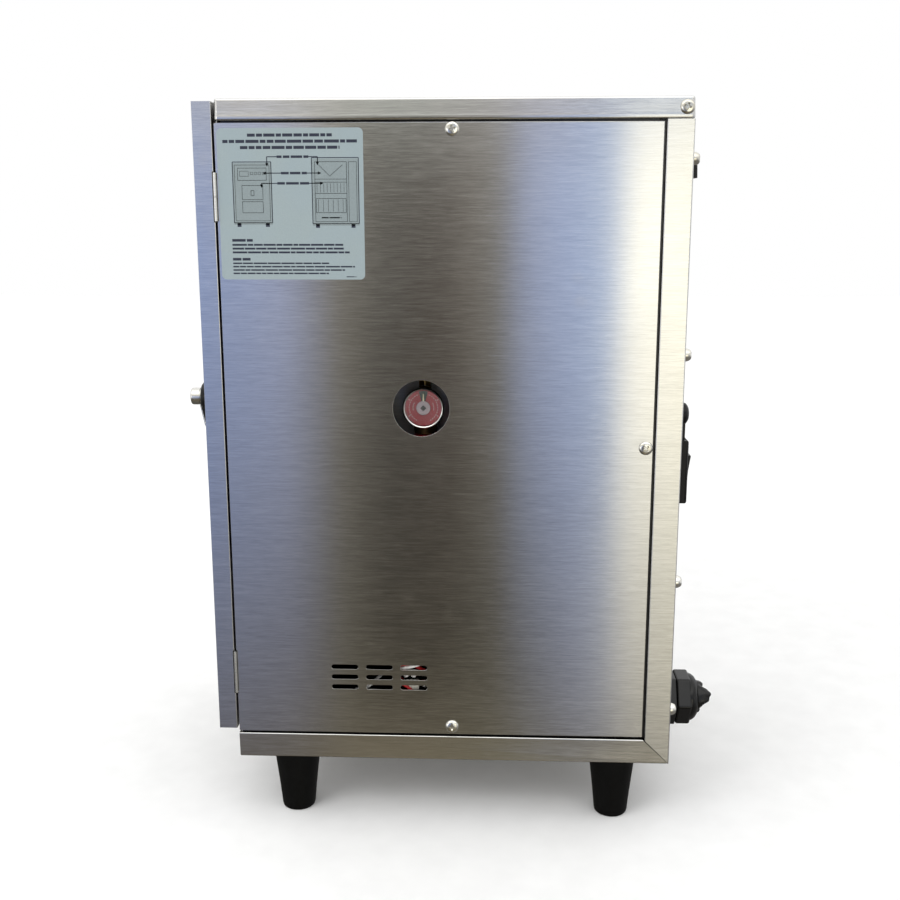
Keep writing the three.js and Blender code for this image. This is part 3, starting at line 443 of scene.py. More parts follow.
def refined(node, rules=(), edge=None, move=None):
    """A copy of a CAD node with merged faces and softened edges.

    Each rule is (test, width, segments); test gets an edge's middle and its two normals.
    """
    bm = bmesh.new()
    bm.from_mesh(frame["nodes"][node].data)
    bmesh.ops.scale(bm, vec=(1 / MM,) * 3, verts=bm.verts)
    bmesh.ops.remove_doubles(bm, verts=bm.verts, dist=0.004)
    bmesh.ops.dissolve_limit(bm, angle_limit=math.radians(0.6), verts=bm.verts, edges=bm.edges)
    if move:
        for vert in bm.verts:
            vert.co = Vector(move(vert.co.copy()))
        bm.normal_update()
    rules = list(rules)
    if edge:
        rules.append((lambda middle, a, b: True, edge, 2))
    layer = bm.edges.layers.int.new("rule")
    for e in bm.edges:
        if len(e.link_faces) != 2 or e.calc_face_angle(0.0) < math.radians(28):
            continue
        a, b = (f.normal for f in e.link_faces)
        middle = (e.verts[0].co + e.verts[1].co) / 2
        e[layer] = next((i + 1 for i, rule in enumerate(rules) if rule[0](middle, a, b)), 0)
    for index, (_, width, segments) in enumerate(rules):
        left = [e for e in bm.edges if e[layer] == index + 1 and e.calc_face_angle(0.0) > 0.4]
        if left:
            made = bmesh.ops.bevel(bm, geom=left, offset=width, segments=segments, profile=0.5,
                affect="EDGES", clamp_overlap=True)
            for e in {e for f in made["faces"] for e in f.edges}:
                e[layer] = 0
    shape = Shape()
    shape.bm.free()
    shape.bm = bm
    return shape


def carved(shape, cutter):
    """The shape with the cutter's solids taken away."""
    items = []
    for part in (shape, cutter):
        mesh = bpy.data.meshes.new("carving")
        part.bm.to_mesh(mesh)
        part.bm.free()
        items.append(placed("carving", mesh))
    modifier = items[0].modifiers.new("Carve", "BOOLEAN")
    modifier.operation, modifier.solver, modifier.object = "DIFFERENCE", "EXACT", items[1]
    mesh = evaluated(items[0])
    for item in items:
        bpy.data.objects.remove(item)
    result = Shape()
    result.bm.from_mesh(mesh)
    bpy.data.meshes.remove(mesh)
    return result


# ---- geometry nodes


def tree_socket(tree, name, kind, way="INPUT", default=None):
    socket = tree.interface.new_socket(name=name, in_out=way, socket_type="NodeSocket" + kind)
    if default is not None:
        socket.default_value = default
    return socket


def tree_node(tree, kind, inputs=None, **settings):
    """A node with its settings, its constants and its incoming links."""
    made = tree.nodes.new(kind)
    for key, value in settings.items():
        setattr(made, key, value)
    for key, value in (inputs or {}).items():
        if isinstance(value, bpy.types.NodeSocket):
            tree.links.new(value, made.inputs[key])
        else:
            made.inputs[key].default_value = value
    return made


def growing_tree(name, inputs, build):
    """A geometry tree, built once: realised, and given its finish at the end."""
    if name in bpy.data.node_groups:
        return bpy.data.node_groups[name]
    tree = bpy.data.node_groups.new(name, "GeometryNodeTree")
    for label, kind, default in (("Geometry", "Geometry", None), *inputs,
            ("Finish", "Material", None)):
        tree_socket(tree, label, kind, default=default)
    tree_socket(tree, "Geometry", "Geometry", "OUTPUT")
    given = tree_node(tree, "NodeGroupInput").outputs
    real = tree_node(tree, "GeometryNodeRealizeInstances", {0: build(tree, given).outputs[0]})
    painted = tree_node(tree, "GeometryNodeSetMaterial", {"Geometry": real.outputs[0],
        "Material": given["Finish"]})
    tree_node(tree, "NodeGroupOutput", {0: painted.outputs[0]})
    return tree


def fastener_tree():
    """Puts one pattern on every point, standing along "aim" with its side along "side"."""
    def build(tree, given):
        aim, side = (tree_node(tree, "GeometryNodeInputNamedAttribute", {"Name": name},
            data_type="FLOAT_VECTOR") for name in ("aim", "side"))
        stand = tree_node(tree, "FunctionNodeAxesToRotation", {0: aim.outputs[0],
            1: side.outputs[0]}, primary_axis="Z", secondary_axis="X")
        turn = tree_node(tree, "FunctionNodeRandomValue", {"Seed": given["Seed"],
            3: given["Random Turn"]}, data_type="FLOAT")
        spin = tree_node(tree, "FunctionNodeAxisAngleToRotation", {"Axis": (0, 0, 1),
            "Angle": turn.outputs[1]})
        both = tree_node(tree, "FunctionNodeRotateRotation", {0: stand.outputs[0],
            1: spin.outputs[0]}, rotation_space="LOCAL")
        pattern = tree_node(tree, "GeometryNodeObjectInfo", {"Object": given["Pattern"]})
        size = tree_node(tree, "ShaderNodeCombineXYZ", {k: given["Size"] for k in (0, 1, 2)})
        return tree_node(tree, "GeometryNodeInstanceOnPoints", {"Points": given["Geometry"],
            "Instance": pattern.outputs["Geometry"], "Rotation": both.outputs[0],
            "Scale": size.outputs[0]})
    return growing_tree("Fastener Row", [("Pattern", "Object", None), ("Size", "Float", 1.0),
        ("Random Turn", "Float", 0.0), ("Seed", "Int", 0)], build)


def wire_tree():
    """Lays round wire along the edges of a mesh."""
    def build(tree, given):
        curve = tree_node(tree, "GeometryNodeMeshToCurve", {0: given["Geometry"]})
        circle = tree_node(tree, "GeometryNodeCurvePrimitiveCircle", {"Resolution": given["Sides"],
            "Radius": given["Wire Radius"]})
        return tree_node(tree, "GeometryNodeCurveToMesh", {"Curve": curve.outputs[0],
            "Profile Curve": circle.outputs[0], "Fill Caps": True})
    return growing_tree("Wire Run", [("Wire Radius", "Float", 0.001), ("Sides", "Int", 8)], build)


def grown(name, mesh, tree, values, finish_name, body, slot=None, replaces=(), smooth=38):
    """Runs a geometry tree over a mesh and keeps the result as a plain piece."""
    seedling = placed(name + "_seedling", mesh)
    modifier = seedling.modifiers.new("Grow", "NODES")
    modifier.node_group = tree
    known = {s.name: s.identifier for s in tree.interface.items_tree if getattr(s, "in_out",
        "") == "INPUT"}
    for key, value in dict(values, Finish=finish(finish_name)).items():
        modifier[known[key]] = value
    result = evaluated(seedling)
    result.name = name
    seedling.modifiers.clear()
    bpy.data.objects.remove(seedling)
    bm = bmesh.new()
    bm.from_mesh(result)
    bmesh.ops.recalc_face_normals(bm, faces=bm.faces)
    bm.to_mesh(result)
    bm.free()
    for old in list(result.attributes):
        if old.name in ("aim", "side"):
            result.attributes.remove(old)
    return settle(name, result, finish_name, body, slot, replaces, smooth)


def scattered(name, pattern, spots, finish_name, body, turn=0.0, slot=None, replaces=(), smooth=38):
    """Copies of a pattern shape at (place, aim, side) spots."""
    bmesh.ops.scale(pattern.bm, vec=(MM, MM, MM), verts=pattern.bm.verts)
    mould = bpy.data.meshes.new(name + "_pattern")
    pattern.bm.to_mesh(mould)
    pattern.bm.free()
    holder = placed(name + "_pattern", mould)
    points = bpy.data.meshes.new(name + "_points")
    points.from_pydata([Vector(p) * MM for p, _, _ in spots], [], [])
    for key, column in (("aim", 1), ("side", 2)):
        attribute = points.attributes.new(key, "FLOAT_VECTOR", "POINT")
        attribute.data.foreach_set("vector", [c for s in spots for c in Vector(s[column])])
    values = {"Pattern": holder, "Size": 1.0, "Random Turn": turn, "Seed": wire_settings().seed}
    made = grown(name, points, fastener_tree(), values, finish_name, body, slot, replaces, smooth)
    bpy.data.objects.remove(holder)
    return made


def wired(name, lines, radius, finish_name, body, sides=8, slot=None, replaces=(), loops=()):
    """Round wire along open lines and closed loops of points."""
    verts, edges = [], []
    for line, closed in [(line, False) for line in lines] + [(line, True) for line in loops]:
        first = len(verts)
        verts += [Vector(p) * MM for p in line]
        edges += [(i, i + 1) for i in range(first, len(verts) - 1)]
        if closed:
            edges.append((len(verts) - 1, first))
    mesh = bpy.data.meshes.new(name + "_line")
    mesh.from_pydata(verts, edges, [])
    values = {"Wire Radius": radius * MM, "Sides": sides}
    return grown(name, mesh, wire_tree(), values, finish_name, body, slot, replaces, 60)


# ---- shader groups


def shader_group(name, inputs, outputs, build):
    """A shared effect, built once: vectors and amounts in, masks and heights out."""
    if name in bpy.data.node_groups:
        return bpy.data.node_groups[name]
    tree = bpy.data.node_groups.new(name, "ShaderNodeTree")
    for label, kind, default in inputs:
        tree_socket(tree, label, kind, default=default)
    for label, kind in outputs:
        tree_socket(tree, label, kind, "OUTPUT")
    given = tree_node(tree, "NodeGroupInput").outputs
    tree_node(tree, "NodeGroupOutput", build(tree, given))
    return tree


def math_node(tree, operation, a, b=None, c=None):
    inputs = {0: a}
    if b is not None:
        inputs[1] = b
    if c is not None:
        inputs[2] = c
    return tree_node(tree, "ShaderNodeMath", inputs, operation=operation).outputs[0]


def spread(tree, value, low, high, to_low=0.0, to_high=1.0):
    """Maps a value from one range to another."""
    return tree_node(tree, "ShaderNodeMapRange", {0: value, 1: low, 2: high, 3: to_low,
        4: to_high}).outputs[0]


def noise(tree, vector, scale, detail=3.0, roughness=0.55, distortion=0.0):
    return tree_node(tree, "ShaderNodeTexNoise", {"Vector": vector, "Scale": scale,
        "Detail": detail, "Roughness": roughness, "Distortion": distortion}).outputs["Fac"]


def brushed_group():
    """Fine parallel scratches; Stretch is long one way and short across it."""
    def build(tree, given):
        along = tree_node(tree, "ShaderNodeVectorMath", {0: given["Vector"], 1: given["Stretch"]},
            operation="MULTIPLY").outputs[0]
        fine = noise(tree, along, 1.0, 4.0, 0.7)
        coarse = noise(tree, along, 0.23, 2.0, 0.5)
        both = math_node(tree, "MULTIPLY_ADD", coarse, 0.16,
            math_node(tree, "MULTIPLY", fine, 0.84))
        deep = spread(tree, fine, 0.66, 0.78)
        return {"Grain": spread(tree, both, 0.32, 0.68), "Height": math_node(tree, "SUBTRACT", both,
            math_node(tree, "MULTIPLY", deep, 0.5)), "Deep Scratch": deep}
    return shader_group("Brushed Grain", [("Vector", "Vector", None),
        ("Stretch", "Vector", (20, 20, 900))], [("Grain", "Float"), ("Height", "Float"),
        ("Deep Scratch", "Float")], build)


def marks_group():
    """Wiped patches and a few soft fingerprints."""
    def build(tree, given):
        wiped = noise(tree, given["Vector"], given["Scale"], 3.0, 0.5, 1.2)
        spots = tree_node(tree, "ShaderNodeTexVoronoi", {"Vector": given["Vector"],
            "Scale": math_node(tree, "MULTIPLY", given["Scale"], 5.0)},
            feature="SMOOTH_F1").outputs["Distance"]
        prints = spread(tree, spots, 0.10, 0.30, 1.0, 0.0)
        sparse = spread(tree, noise(tree, given["Vector"], math_node(tree, "MULTIPLY",
            given["Scale"], 1.7), 1.0), 0.60, 0.72)
        return {"Wiped": spread(tree, wiped, 0.35, 0.65), "Prints": math_node(tree, "MULTIPLY",
            prints, sparse)}
    return shader_group("Handling Marks", [("Vector", "Vector", None), ("Scale", "Float", 9.0)],
        [("Wiped", "Float"), ("Prints", "Float")], build)


def moulded_group():
    """The fine leather-like grain of moulded plastic and rubber, with dust."""
    def build(tree, given):
        cells = tree_node(tree, "ShaderNodeTexVoronoi", {"Vector": given["Vector"],
            "Scale": given["Scale"]}, feature="SMOOTH_F1").outputs["Distance"]
        soft = noise(tree, given["Vector"], math_node(tree, "MULTIPLY", given["Scale"], 0.4), 3.0)
        dust = noise(tree, given["Vector"], math_node(tree, "MULTIPLY", given["Scale"], 0.06), 5.0,
            0.7)
        return {"Height": math_node(tree, "MULTIPLY_ADD", cells, 0.6, soft), "Dust": spread(tree,
            dust, 0.50, 0.72), "Mottle": spread(tree, soft, 0.35, 0.65)}
    return shader_group("Moulded Grain", [("Vector", "Vector", None), ("Scale", "Float", 1400.0)],
        [("Height", "Float"), ("Dust", "Float"), ("Mottle", "Float")], build)


def spangle_group():
    """The frosty crystal pattern of zinc coating."""
    def build(tree, given):
        wobble = tree_node(tree, "ShaderNodeTexNoise", {"Vector": given["Vector"],
            "Scale": 90.0}).outputs["Color"]
        bent = tree_node(tree, "ShaderNodeVectorMath", {0: wobble, 1: (0.006, 0.006, 0.006),
            2: given["Vector"]}, operation="MULTIPLY_ADD")
        cell = tree_node(tree, "ShaderNodeTexVoronoi", {"Vector": bent.outputs[0],
            "Scale": given["Scale"]}).outputs["Color"]
        tone = tree_node(tree, "ShaderNodeSeparateColor", {0: cell}).outputs[0]
        return {"Tone": tone, "Tarnish": spread(tree, noise(tree, given["Vector"], 25.0, 4.0), 0.42,
            0.66)}
    return shader_group("Zinc Spangle", [("Vector", "Vector", None), ("Scale", "Float", 160.0)],
        [("Tone", "Float"), ("Tarnish", "Float")], build)


# ---- finishes


class Finish:
    """A material in the making, read in object coordinates."""

    def __init__(self, name):
        self.material = bpy.data.materials.new(name)
        self.material.use_nodes = True
        self.tree = self.material.node_tree
        self.tree.nodes.clear()
        self.shader = tree_node(self.tree, "ShaderNodeBsdfPrincipled")
        tree_node(self.tree, "ShaderNodeOutputMaterial", {"Surface": self.shader.outputs[0]})
        self.place = tree_node(self.tree, "ShaderNodeTexCoord").outputs["Object"]

    def group(self, tree, **values):
        made = tree_node(self.tree, "ShaderNodeGroup", node_tree=tree)
        self.tree.links.new(self.place, made.inputs["Vector"])
        for key, value in values.items():
            made.inputs[key].default_value = value
        return made.outputs

    def mix(self, factor, a, b):
        made = tree_node(self.tree, "ShaderNodeMix", data_type="RGBA")
        for index, value in ((0, factor), (6, a), (7, b)):
            if isinstance(value, bpy.types.NodeSocket):
                self.tree.links.new(value, made.inputs[index])
            elif index:
                made.inputs[index].default_value = (*value, 1.0)
            else:
                made.inputs[index].default_value = value
        return made.outputs[2]

    def worn(self, mask, amount, plain, marked):
        """One colour turning to another where a mask is strong."""
        return self.mix(math_node(self.tree, "MULTIPLY", mask, amount), plain, marked)

    def ramp(self, value, low, high):
        return spread(self.tree, value, 0.0, 1.0, low, high)

    def sum(self, a, b):
        return math_node(self.tree, "ADD", a, b)

    def bump(self, height, distance, strength=1.0):
        made = tree_node(self.tree, "ShaderNodeBump", {"Strength": strength,
            "Distance": distance * MM, "Height": height})
        self.tree.links.new(made.outputs[0], self.shader.inputs["Normal"])

    def set(self, **values):
        names = {"colour": "Base Color", "roughness": "Roughness", "metallic": "Metallic",
            "coat": "Coat Weight", "coat_roughness": "Coat Roughness", "ior": "IOR",
            "gloss": "Specular IOR Level", "aniso": "Anisotropic",
            "aniso_turn": "Anisotropic Rotation", "clear": "Transmission Weight",
            "glow": "Emission Color", "glow_strength": "Emission Strength"}
        for key, value in values.items():
            socket = self.shader.inputs[names[key]]
            if isinstance(value, bpy.types.NodeSocket):
                self.tree.links.new(value, socket)
            elif isinstance(value, (tuple, list)):
                socket.default_value = (*value[:3], 1.0)
            else:
                socket.default_value = value
        return self


def shade(colour, factor):
    return tuple(min(1.0, c * factor) for c in colour)


def brushed_steel(name, colour, roughness, stretch, aniso=1.0, axis="Z", depth=0.009, marks=0.02,
        contrast=0.17):
    """Steel brushed one way: streaked tone, streaked gloss and a light stretched across."""
    f = Finish(name)
    grain = f.group(brushed_group(), Stretch=stretch)
    wear = f.group(marks_group(), Scale=7.0)
    tone = f.mix(grain["Grain"], shade(colour, 1 - contrast), shade(colour, 1 + contrast * 0.6))
    tone = f.worn(grain["Deep Scratch"], 0.25, tone, shade(colour, 0.6))
    tone = f.worn(wear["Wiped"], 0.12, tone, shade(colour, 0.86))
    rough = f.ramp(grain["Grain"], roughness - 0.02, roughness + 0.02)
    rough = f.sum(rough, f.ramp(wear["Wiped"], 0.0, marks))
    rough = f.sum(rough, f.ramp(wear["Prints"], 0.0, marks * 1.4))
    f.bump(grain["Height"], depth)
    f.set(colour=tone, roughness=rough, metallic=1.0, aniso=aniso, aniso_turn=0.25)
    tangent = tree_node(f.tree, "ShaderNodeTangent", direction_type="RADIAL", axis=axis)
    f.tree.links.new(tangent.outputs[0], f.shader.inputs["Tangent"])
    return f.material


def plain_metal(name, colour, roughness, stretch=(260, 260, 260), depth=0.006, tarnish=None):
    """Turned, plated or satin metal with fine marks and a little tarnish."""
    f = Finish(name)
    grain = f.group(brushed_group(), Stretch=stretch)
    wear = f.group(marks_group(), Scale=22.0)
    tone = f.mix(grain["Grain"], shade(colour, 0.92), shade(colour, 1.05))
    tone = f.worn(wear["Wiped"], 0.45, tone, tarnish or shade(colour, 0.78))
    rough = f.sum(f.ramp(grain["Grain"], roughness - 0.04, roughness + 0.05), f.ramp(wear["Wiped"],
        0.0, 0.08))
    f.bump(grain["Height"], depth)
    return f.set(colour=tone, roughness=rough, metallic=1.0).material


def moulded(name, colour, roughness, scale=1400.0, depth=0.03, dust=(0.10, 0.10, 0.095), gloss=0.4,
        dusty=0.25):
    """Moulded plastic or rubber: fine grain, mottled tone and a little dust."""
    f = Finish(name)
    grain = f.group(moulded_group(), Scale=scale)
    tone = f.mix(grain["Mottle"], shade(colour, 0.8), shade(colour, 1.25))
    tone = f.mix(math_node(f.tree, "MULTIPLY", grain["Dust"], dusty), tone, dust)
    rough = f.sum(f.ramp(grain["Mottle"], roughness - 0.05, roughness + 0.05), f.ramp(grain["Dust"],
        0.0, 0.12))
    f.bump(grain["Height"], depth)
    return f.set(colour=tone, roughness=rough, gloss=gloss).material


def zinc(name, colour, roughness):
    """Zinc-coated sheet with its crystal pattern."""
    f = Finish(name)
    grain = f.group(spangle_group(), Scale=150.0)
    tone = f.mix(grain["Tone"], shade(colour, 0.80), shade(colour, 1.12))
    tone = f.worn(grain["Tarnish"], 0.5, tone, shade(colour, 0.6))
    rough = f.sum(f.ramp(grain["Tone"], roughness - 0.08, roughness + 0.08),
        f.ramp(grain["Tarnish"], 0.0, 0.1))
    f.bump(grain["Tone"], 0.01, 0.6)
    return f.set(colour=tone, roughness=rough, metallic=1.0).material


def enamel(name, colour):
    """Sprayed gloss enamel with its faint orange peel."""
    f = Finish(name)
    grain = f.group(moulded_group(), Scale=420.0)
    wear = f.group(marks_group(), Scale=18.0)
    tone = f.mix(grain["Mottle"], shade(colour, 0.9), shade(colour, 1.12))
    tone = f.worn(wear["Wiped"], 0.25, tone, shade(colour, 0.7))
    f.bump(grain["Height"], 0.02)
    rough = f.ramp(wear["Wiped"], 0.22, 0.36)
    return f.set(colour=tone, roughness=rough, coat=0.6, coat_roughness=0.08).material


def printed(name, colour, roughness, speck=0.06, glow=0.0):
    """Ink or film with a fine print texture."""
    f = Finish(name)
    grain = f.group(moulded_group(), Scale=2600.0)
    wear = f.group(marks_group(), Scale=30.0)
    tone = f.mix(grain["Mottle"], shade(colour, 1 - speck), shade(colour, 1 + speck))
    tone = f.worn(wear["Wiped"], 0.2, tone, shade(colour, 0.9))
    rough = f.ramp(wear["Wiped"], roughness - 0.04, roughness + 0.08)
    f.bump(grain["Height"], 0.006)
    f.set(colour=tone, roughness=rough)
    # Glow is the lit display's own light; on the gauge needle it is painted light, for the needle is no lamp.
    if glow:
        f.set(glow=tone, glow_strength=glow)
    return f.material


def sticker(name, colour):
    """Metallised sticker film: a soft satin face with fine flecks and slow ripples."""
    f = Finish(name)
    grain = f.group(moulded_group(), Scale=3000.0)
    ripple = f.group(marks_group(), Scale=16.0)
    tone = f.mix(grain["Mottle"], shade(colour, 0.95), shade(colour, 1.05))
    tone = f.worn(ripple["Wiped"], 0.35, tone,
        (colour[0] * 0.93, colour[1] * 0.97, colour[2] * 1.06))
    f.bump(ripple["Wiped"], 0.05, 0.5)
    rough = f.ramp(ripple["Wiped"], 0.42, 0.52)
    return f.set(colour=tone, roughness=rough, gloss=0.35).material


def clear(name, tint, roughness):
    """Clear moulded lens with faint cleaning haze."""
    f = Finish(name)
    wear = f.group(marks_group(), Scale=60.0)
    tone = f.mix(wear["Wiped"], tint, shade(tint, 0.97))
    rough = f.ramp(wear["Wiped"], roughness, roughness + 0.04)
    return f.set(colour=tone, roughness=rough, clear=1.0, ior=1.49).material


def open_mesh(name, colour):
    """Layered aluminium filter mesh, pressed in a fine diamond pattern."""
    f = Finish(name)
    cells = tree_node(f.tree, "ShaderNodeTexVoronoi", {"Vector": f.place, "Scale": 300.0},
        feature="DISTANCE_TO_EDGE").outputs["Distance"]
    strands = spread(f.tree, cells, 0.04, 0.16, 1.0, 0.0)
    grain = f.group(brushed_group(), Stretch=(300, 300, 300))
    # Between the strands the colour falls to near-black: painted shade standing for the dark seen through the mesh
    # openings.
    tone = f.mix(strands, shade(colour, 0.10), colour)
    tone = f.worn(grain["Grain"], 0.25, tone, shade(colour, 0.7))
    f.bump(strands, 0.35)
    rough = f.ramp(strands, 0.6, 0.32)
    return f.set(colour=tone, roughness=rough, metallic=0.9).material


def finish_recipes():
    """Every finish: its recipe, and what the recipe takes in order and by name."""
    settings = finish_settings()
    steel, film = tuple(settings.steel), tuple(settings.label_film)
    level, deck = (50, 50, 980), (1150, 16, 1150)  # brushed level, and brushed front to back

    def black(depth, dust, gloss, dusty):
        return dict(depth=depth, dust=dust, gloss=gloss, dusty=dusty)

    return {
        "side_steel": (brushed_steel, steel, 0.115, level),
        "cover_steel": (brushed_steel, shade(steel, 1.02), 0.13, level),
        "cover_deck_steel": (brushed_steel, steel, 0.18, deck, dict(axis="X")),
        "strip_steel": (brushed_steel, steel, 0.125, level),
        "door_steel": (brushed_steel, steel, 0.125, level),
        "inner_steel": (brushed_steel, (0.52, 0.515, 0.50), 0.32, (30, 30, 600),
                        dict(aniso=0.4, marks=0.10, contrast=0.16)),
        "pot_steel": (plain_metal, (0.42, 0.40, 0.36), 0.34, (60, 60, 420),
                      dict(tarnish=(0.22, 0.16, 0.09))),
        "filter_steel": (brushed_steel, (0.50, 0.50, 0.49), 0.30, (600, 30, 30),
                         dict(aniso=0.3, contrast=0.14)),
        "element_steel": (plain_metal, (0.16, 0.14, 0.13), 0.42, (300,) * 3,
                          dict(tarnish=(0.20, 0.12, 0.08))),
        "wire_plate": (plain_metal, (0.58, 0.58, 0.56), 0.22, (500,) * 3),
        "bright_plate": (plain_metal, (0.74, 0.73, 0.70), 0.14, (400,) * 3),
        "knob_plate": (plain_metal, (0.72, 0.71, 0.67), 0.20, (300,) * 3),
        # Silver boss coloured grey-pink: painted reflection of the red dial round it.
        "boss_plate": (plain_metal, (0.40, 0.33, 0.34), 0.36, (500,) * 3),
        "screw_plate": (plain_metal, (0.78, 0.77, 0.72), 0.13, (700,) * 3,
                        dict(tarnish=(0.40, 0.36, 0.27))),
        "brass_turned": (plain_metal, (0.60, 0.42, 0.17), 0.28, (400,) * 3,
                         dict(tarnish=(0.34, 0.21, 0.09))),
        "fusible_link": (plain_metal, (0.55, 0.53, 0.48), 0.4, (300,) * 3),
        "wheel_aluminium": (plain_metal, (0.58, 0.59, 0.60), 0.38, (350,) * 3),
        "zinc_sheet": (zinc, (0.48, 0.50, 0.52), 0.36),
        "motor_can": (zinc, (0.36, 0.38, 0.39), 0.42),
        "filter_mesh": (open_mesh, (0.58, 0.59, 0.60)),
        "foot_rubber": (moulded, (0.003, 0.003, 0.0028), 0.5, 900.0,
                        black(0.04, (0.012, 0.012, 0.011), 0.10, 0.15)),
        "black_plastic": (moulded, (0.004, 0.004, 0.0045), 0.30, 1600.0,
                          black(0.02, (0.02,) * 3, 0.22, 0.12)),
        "gland_nylon": (moulded, (0.003,) * 3, 0.14, 900.0,
                        black(0.010, (0.015,) * 3, 0.30, 0.08)),
        "seal_rubber": (moulded, (0.004,) * 3, 0.26, 700.0, black(0.06, (0.02,) * 3, 0.3, 0.2)),
        "key_rubber": (moulded, (0.055, 0.060, 0.066), 0.5, 1500.0, 0.02),
        "gasket_grey": (moulded, (0.17, 0.175, 0.18), 0.75, 900.0, 0.10, (0.25, 0.24, 0.22)),
        "handle_vinyl": (moulded, (0.42, 0.018, 0.014), 0.38, 700.0, 0.02, (0.30, 0.08, 0.07),
                         0.5),
        "red_insulation": (moulded, (0.45, 0.010, 0.012), 0.40, 900.0, 0.01, (0.5, 0.2, 0.2), 0.5,
                           0.1),
        "white_insulation": (moulded, (0.72, 0.71, 0.68), 0.42, 900.0, 0.01, (0.5, 0.49, 0.45),
                             0.5, 0.2),
        "terminal_plastic": (moulded, (0.60, 0.58, 0.50), 0.45, 900.0, 0.02, (0.4, 0.38, 0.32)),
        "cylinder_red": (enamel, tuple(settings.enamel)),
        "label_film": (sticker, film),
        "label_ink": (printed, tuple(settings.label_ink), 0.5),
        "label_wash": (printed, shade(film, 0.78), 0.45),
        "dial_red": (printed, (0.52, 0.010, 0.022), 0.30, 0.14),
        "dial_green": (printed, (0.012, 0.040, 0.018), 0.34, 0.12),
        "dial_white": (printed, (0.75, 0.58, 0.56), 0.4),
        # The needle glows faintly though it is no lamp: painted light.
        "needle_cream": (printed, (0.86, 0.80, 0.50), 0.4, dict(glow=0.12)),
        "control_film": (printed, (0.030, 0.034, 0.042), 0.30),
        "control_ink": (printed, (0.62, 0.65, 0.68), 0.4),
        "control_accent": (printed, (0.75, 0.24, 0.03), 0.4),
        "display_glass": (printed, (0.006, 0.008, 0.010), 0.10),
        "display_glow": (printed, (0.05, 0.75, 0.70), 0.3, dict(glow=1.6)),
        "rocker_mark": (printed, (0.70, 0.70, 0.68), 0.4),
        "lens": (clear, (0.97, 0.98, 0.98), 0.02),
    }


FINISHES = {}


def finish(name):
    """A finish by name, made the first time that it is asked for."""
    if name not in FINISHES:
        recipe, *given = finish_recipes()[name]
        named = given.pop() if isinstance(given[-1], dict) else {}
        FINISHES[name] = recipe(name + "_finish", *given, **named)
    return FINISHES[name]


# ---- stage


def ring_of_light(tree, azimuth, stops):
    """Soft colours round the horizon: (degrees, colour) pairs, blended."""
    ramp = tree_node(tree, "ShaderNodeValToRGB", {"Fac": spread(tree, azimuth, -180.0, 180.0)})
    ramp.color_ramp.interpolation = "EASE"
    points = ramp.color_ramp.elements
    while len(points) > 1:
        points.remove(points[0])
    for index, (degrees, colour) in enumerate(stops):
        where = (degrees + 180.0) / 360.0
        point = points.new(where) if index else points[0]
        if not index:
            point.position = where
        point.color = (*colour, 1.0)
    return ramp.outputs["Color"]


ROOM_HIGH = (  # what polished faces mirror at eye level, round the compass
    (-180, (0.62, 0.63, 0.64)), (-160, (0.26, 0.26, 0.26)), (-116, (0.30, 0.30, 0.31)),
    (-102, (1.3, 1.3, 1.28)), (-84, (0.85, 0.85, 0.84)), (-64, (1.7, 1.7, 1.68)),
    (-32, (2.6, 2.6, 2.6)), (-17, (0.44, 0.61, 1.10)), (-13, (0.51, 0.62, 0.96)),
    (-11.0, (0.56, 0.64, 0.93)), (-8.6, (0.31, 0.287, 0.245)), (-6.0, (0.14, 0.128, 0.112)),
    (-3, (0.135, 0.113, 0.095)), (-1.2, (0.25, 0.222, 0.19)), (0.6, (0.34, 0.33, 0.30)),
    (1.7, (0.58, 0.68, 1.00)), (3.7, (0.63, 0.78, 1.18)), (5.3, (0.70, 0.89, 1.30)),
    (6.2, (0.98, 1.12, 1.35)), (6.9, (2.3, 2.25, 2.0)), (11, (2.4, 2.3, 1.9)),
    (28, (2.1, 2.0, 1.65)), (50, (0.46, 0.47, 0.50)), (72, (1.2, 1.2, 1.19)),
    (92, (0.75, 0.76, 0.78)), (112, (1.2, 1.2, 1.18)), (140, (0.5, 0.5, 0.52)),
    (165, (0.95, 0.95, 0.95)),
)
ROOM_LOW = (  # the same, looking well down
    (-180, (0.24, 0.25, 0.25)), (-150, (0.32, 0.32, 0.31)), (-125, (0.12, 0.12, 0.12)),
    (-100, (0.26, 0.26, 0.255)), (-84, (0.14, 0.14, 0.14)), (-62, (0.16, 0.16, 0.16)),
    (-32, (0.20, 0.20, 0.21)), (-17, (0.17, 0.175, 0.23)), (-11.2, (0.174, 0.171, 0.20)),
    (-8.6, (0.115, 0.107, 0.086)), (-6.0, (0.036, 0.032, 0.025)), (-3, (0.05, 0.045, 0.036)),
    (-1.0, (0.06, 0.056, 0.043)), (0.6, (0.095, 0.085, 0.066)), (2.0, (0.14, 0.133, 0.115)),
    (3.7, (0.25, 0.25, 0.30)), (5.3, (0.33, 0.34, 0.40)), (6.2, (0.55, 0.54, 0.54)),
    (9, (0.66, 0.62, 0.51)), (28, (0.50, 0.48, 0.43)), (60, (0.20, 0.20, 0.21)),
    (90, (0.36, 0.36, 0.36)), (140, (0.20, 0.20, 0.21)),
)
CEILING = ((-60, (0.95, 0.95, 0.94)), (-13, (0.84, 0.80, 0.72)), (-6, (0.72, 0.74, 0.69)),
    (3, (0.67, 0.65, 0.66)), (8, (0.56, 0.66, 0.86)), (40, (0.95, 0.95, 0.95)))
SKYLIGHT = ((-120, (1.3, 1.3, 1.3)), (-30, (2.2, 2.2, 2.15)), (20, (2.2, 2.2, 2.15)),
    (120, (1.3, 1.3, 1.3)))
TABLE = ((-60, (0.12, 0.115, 0.10)), (-13, (0.17, 0.145, 0.10)), (-7, (0.29, 0.25, 0.175)),
    (3, (0.27, 0.24, 0.165)), (8, (0.20, 0.175, 0.13)), (60, (0.22, 0.21, 0.20)))


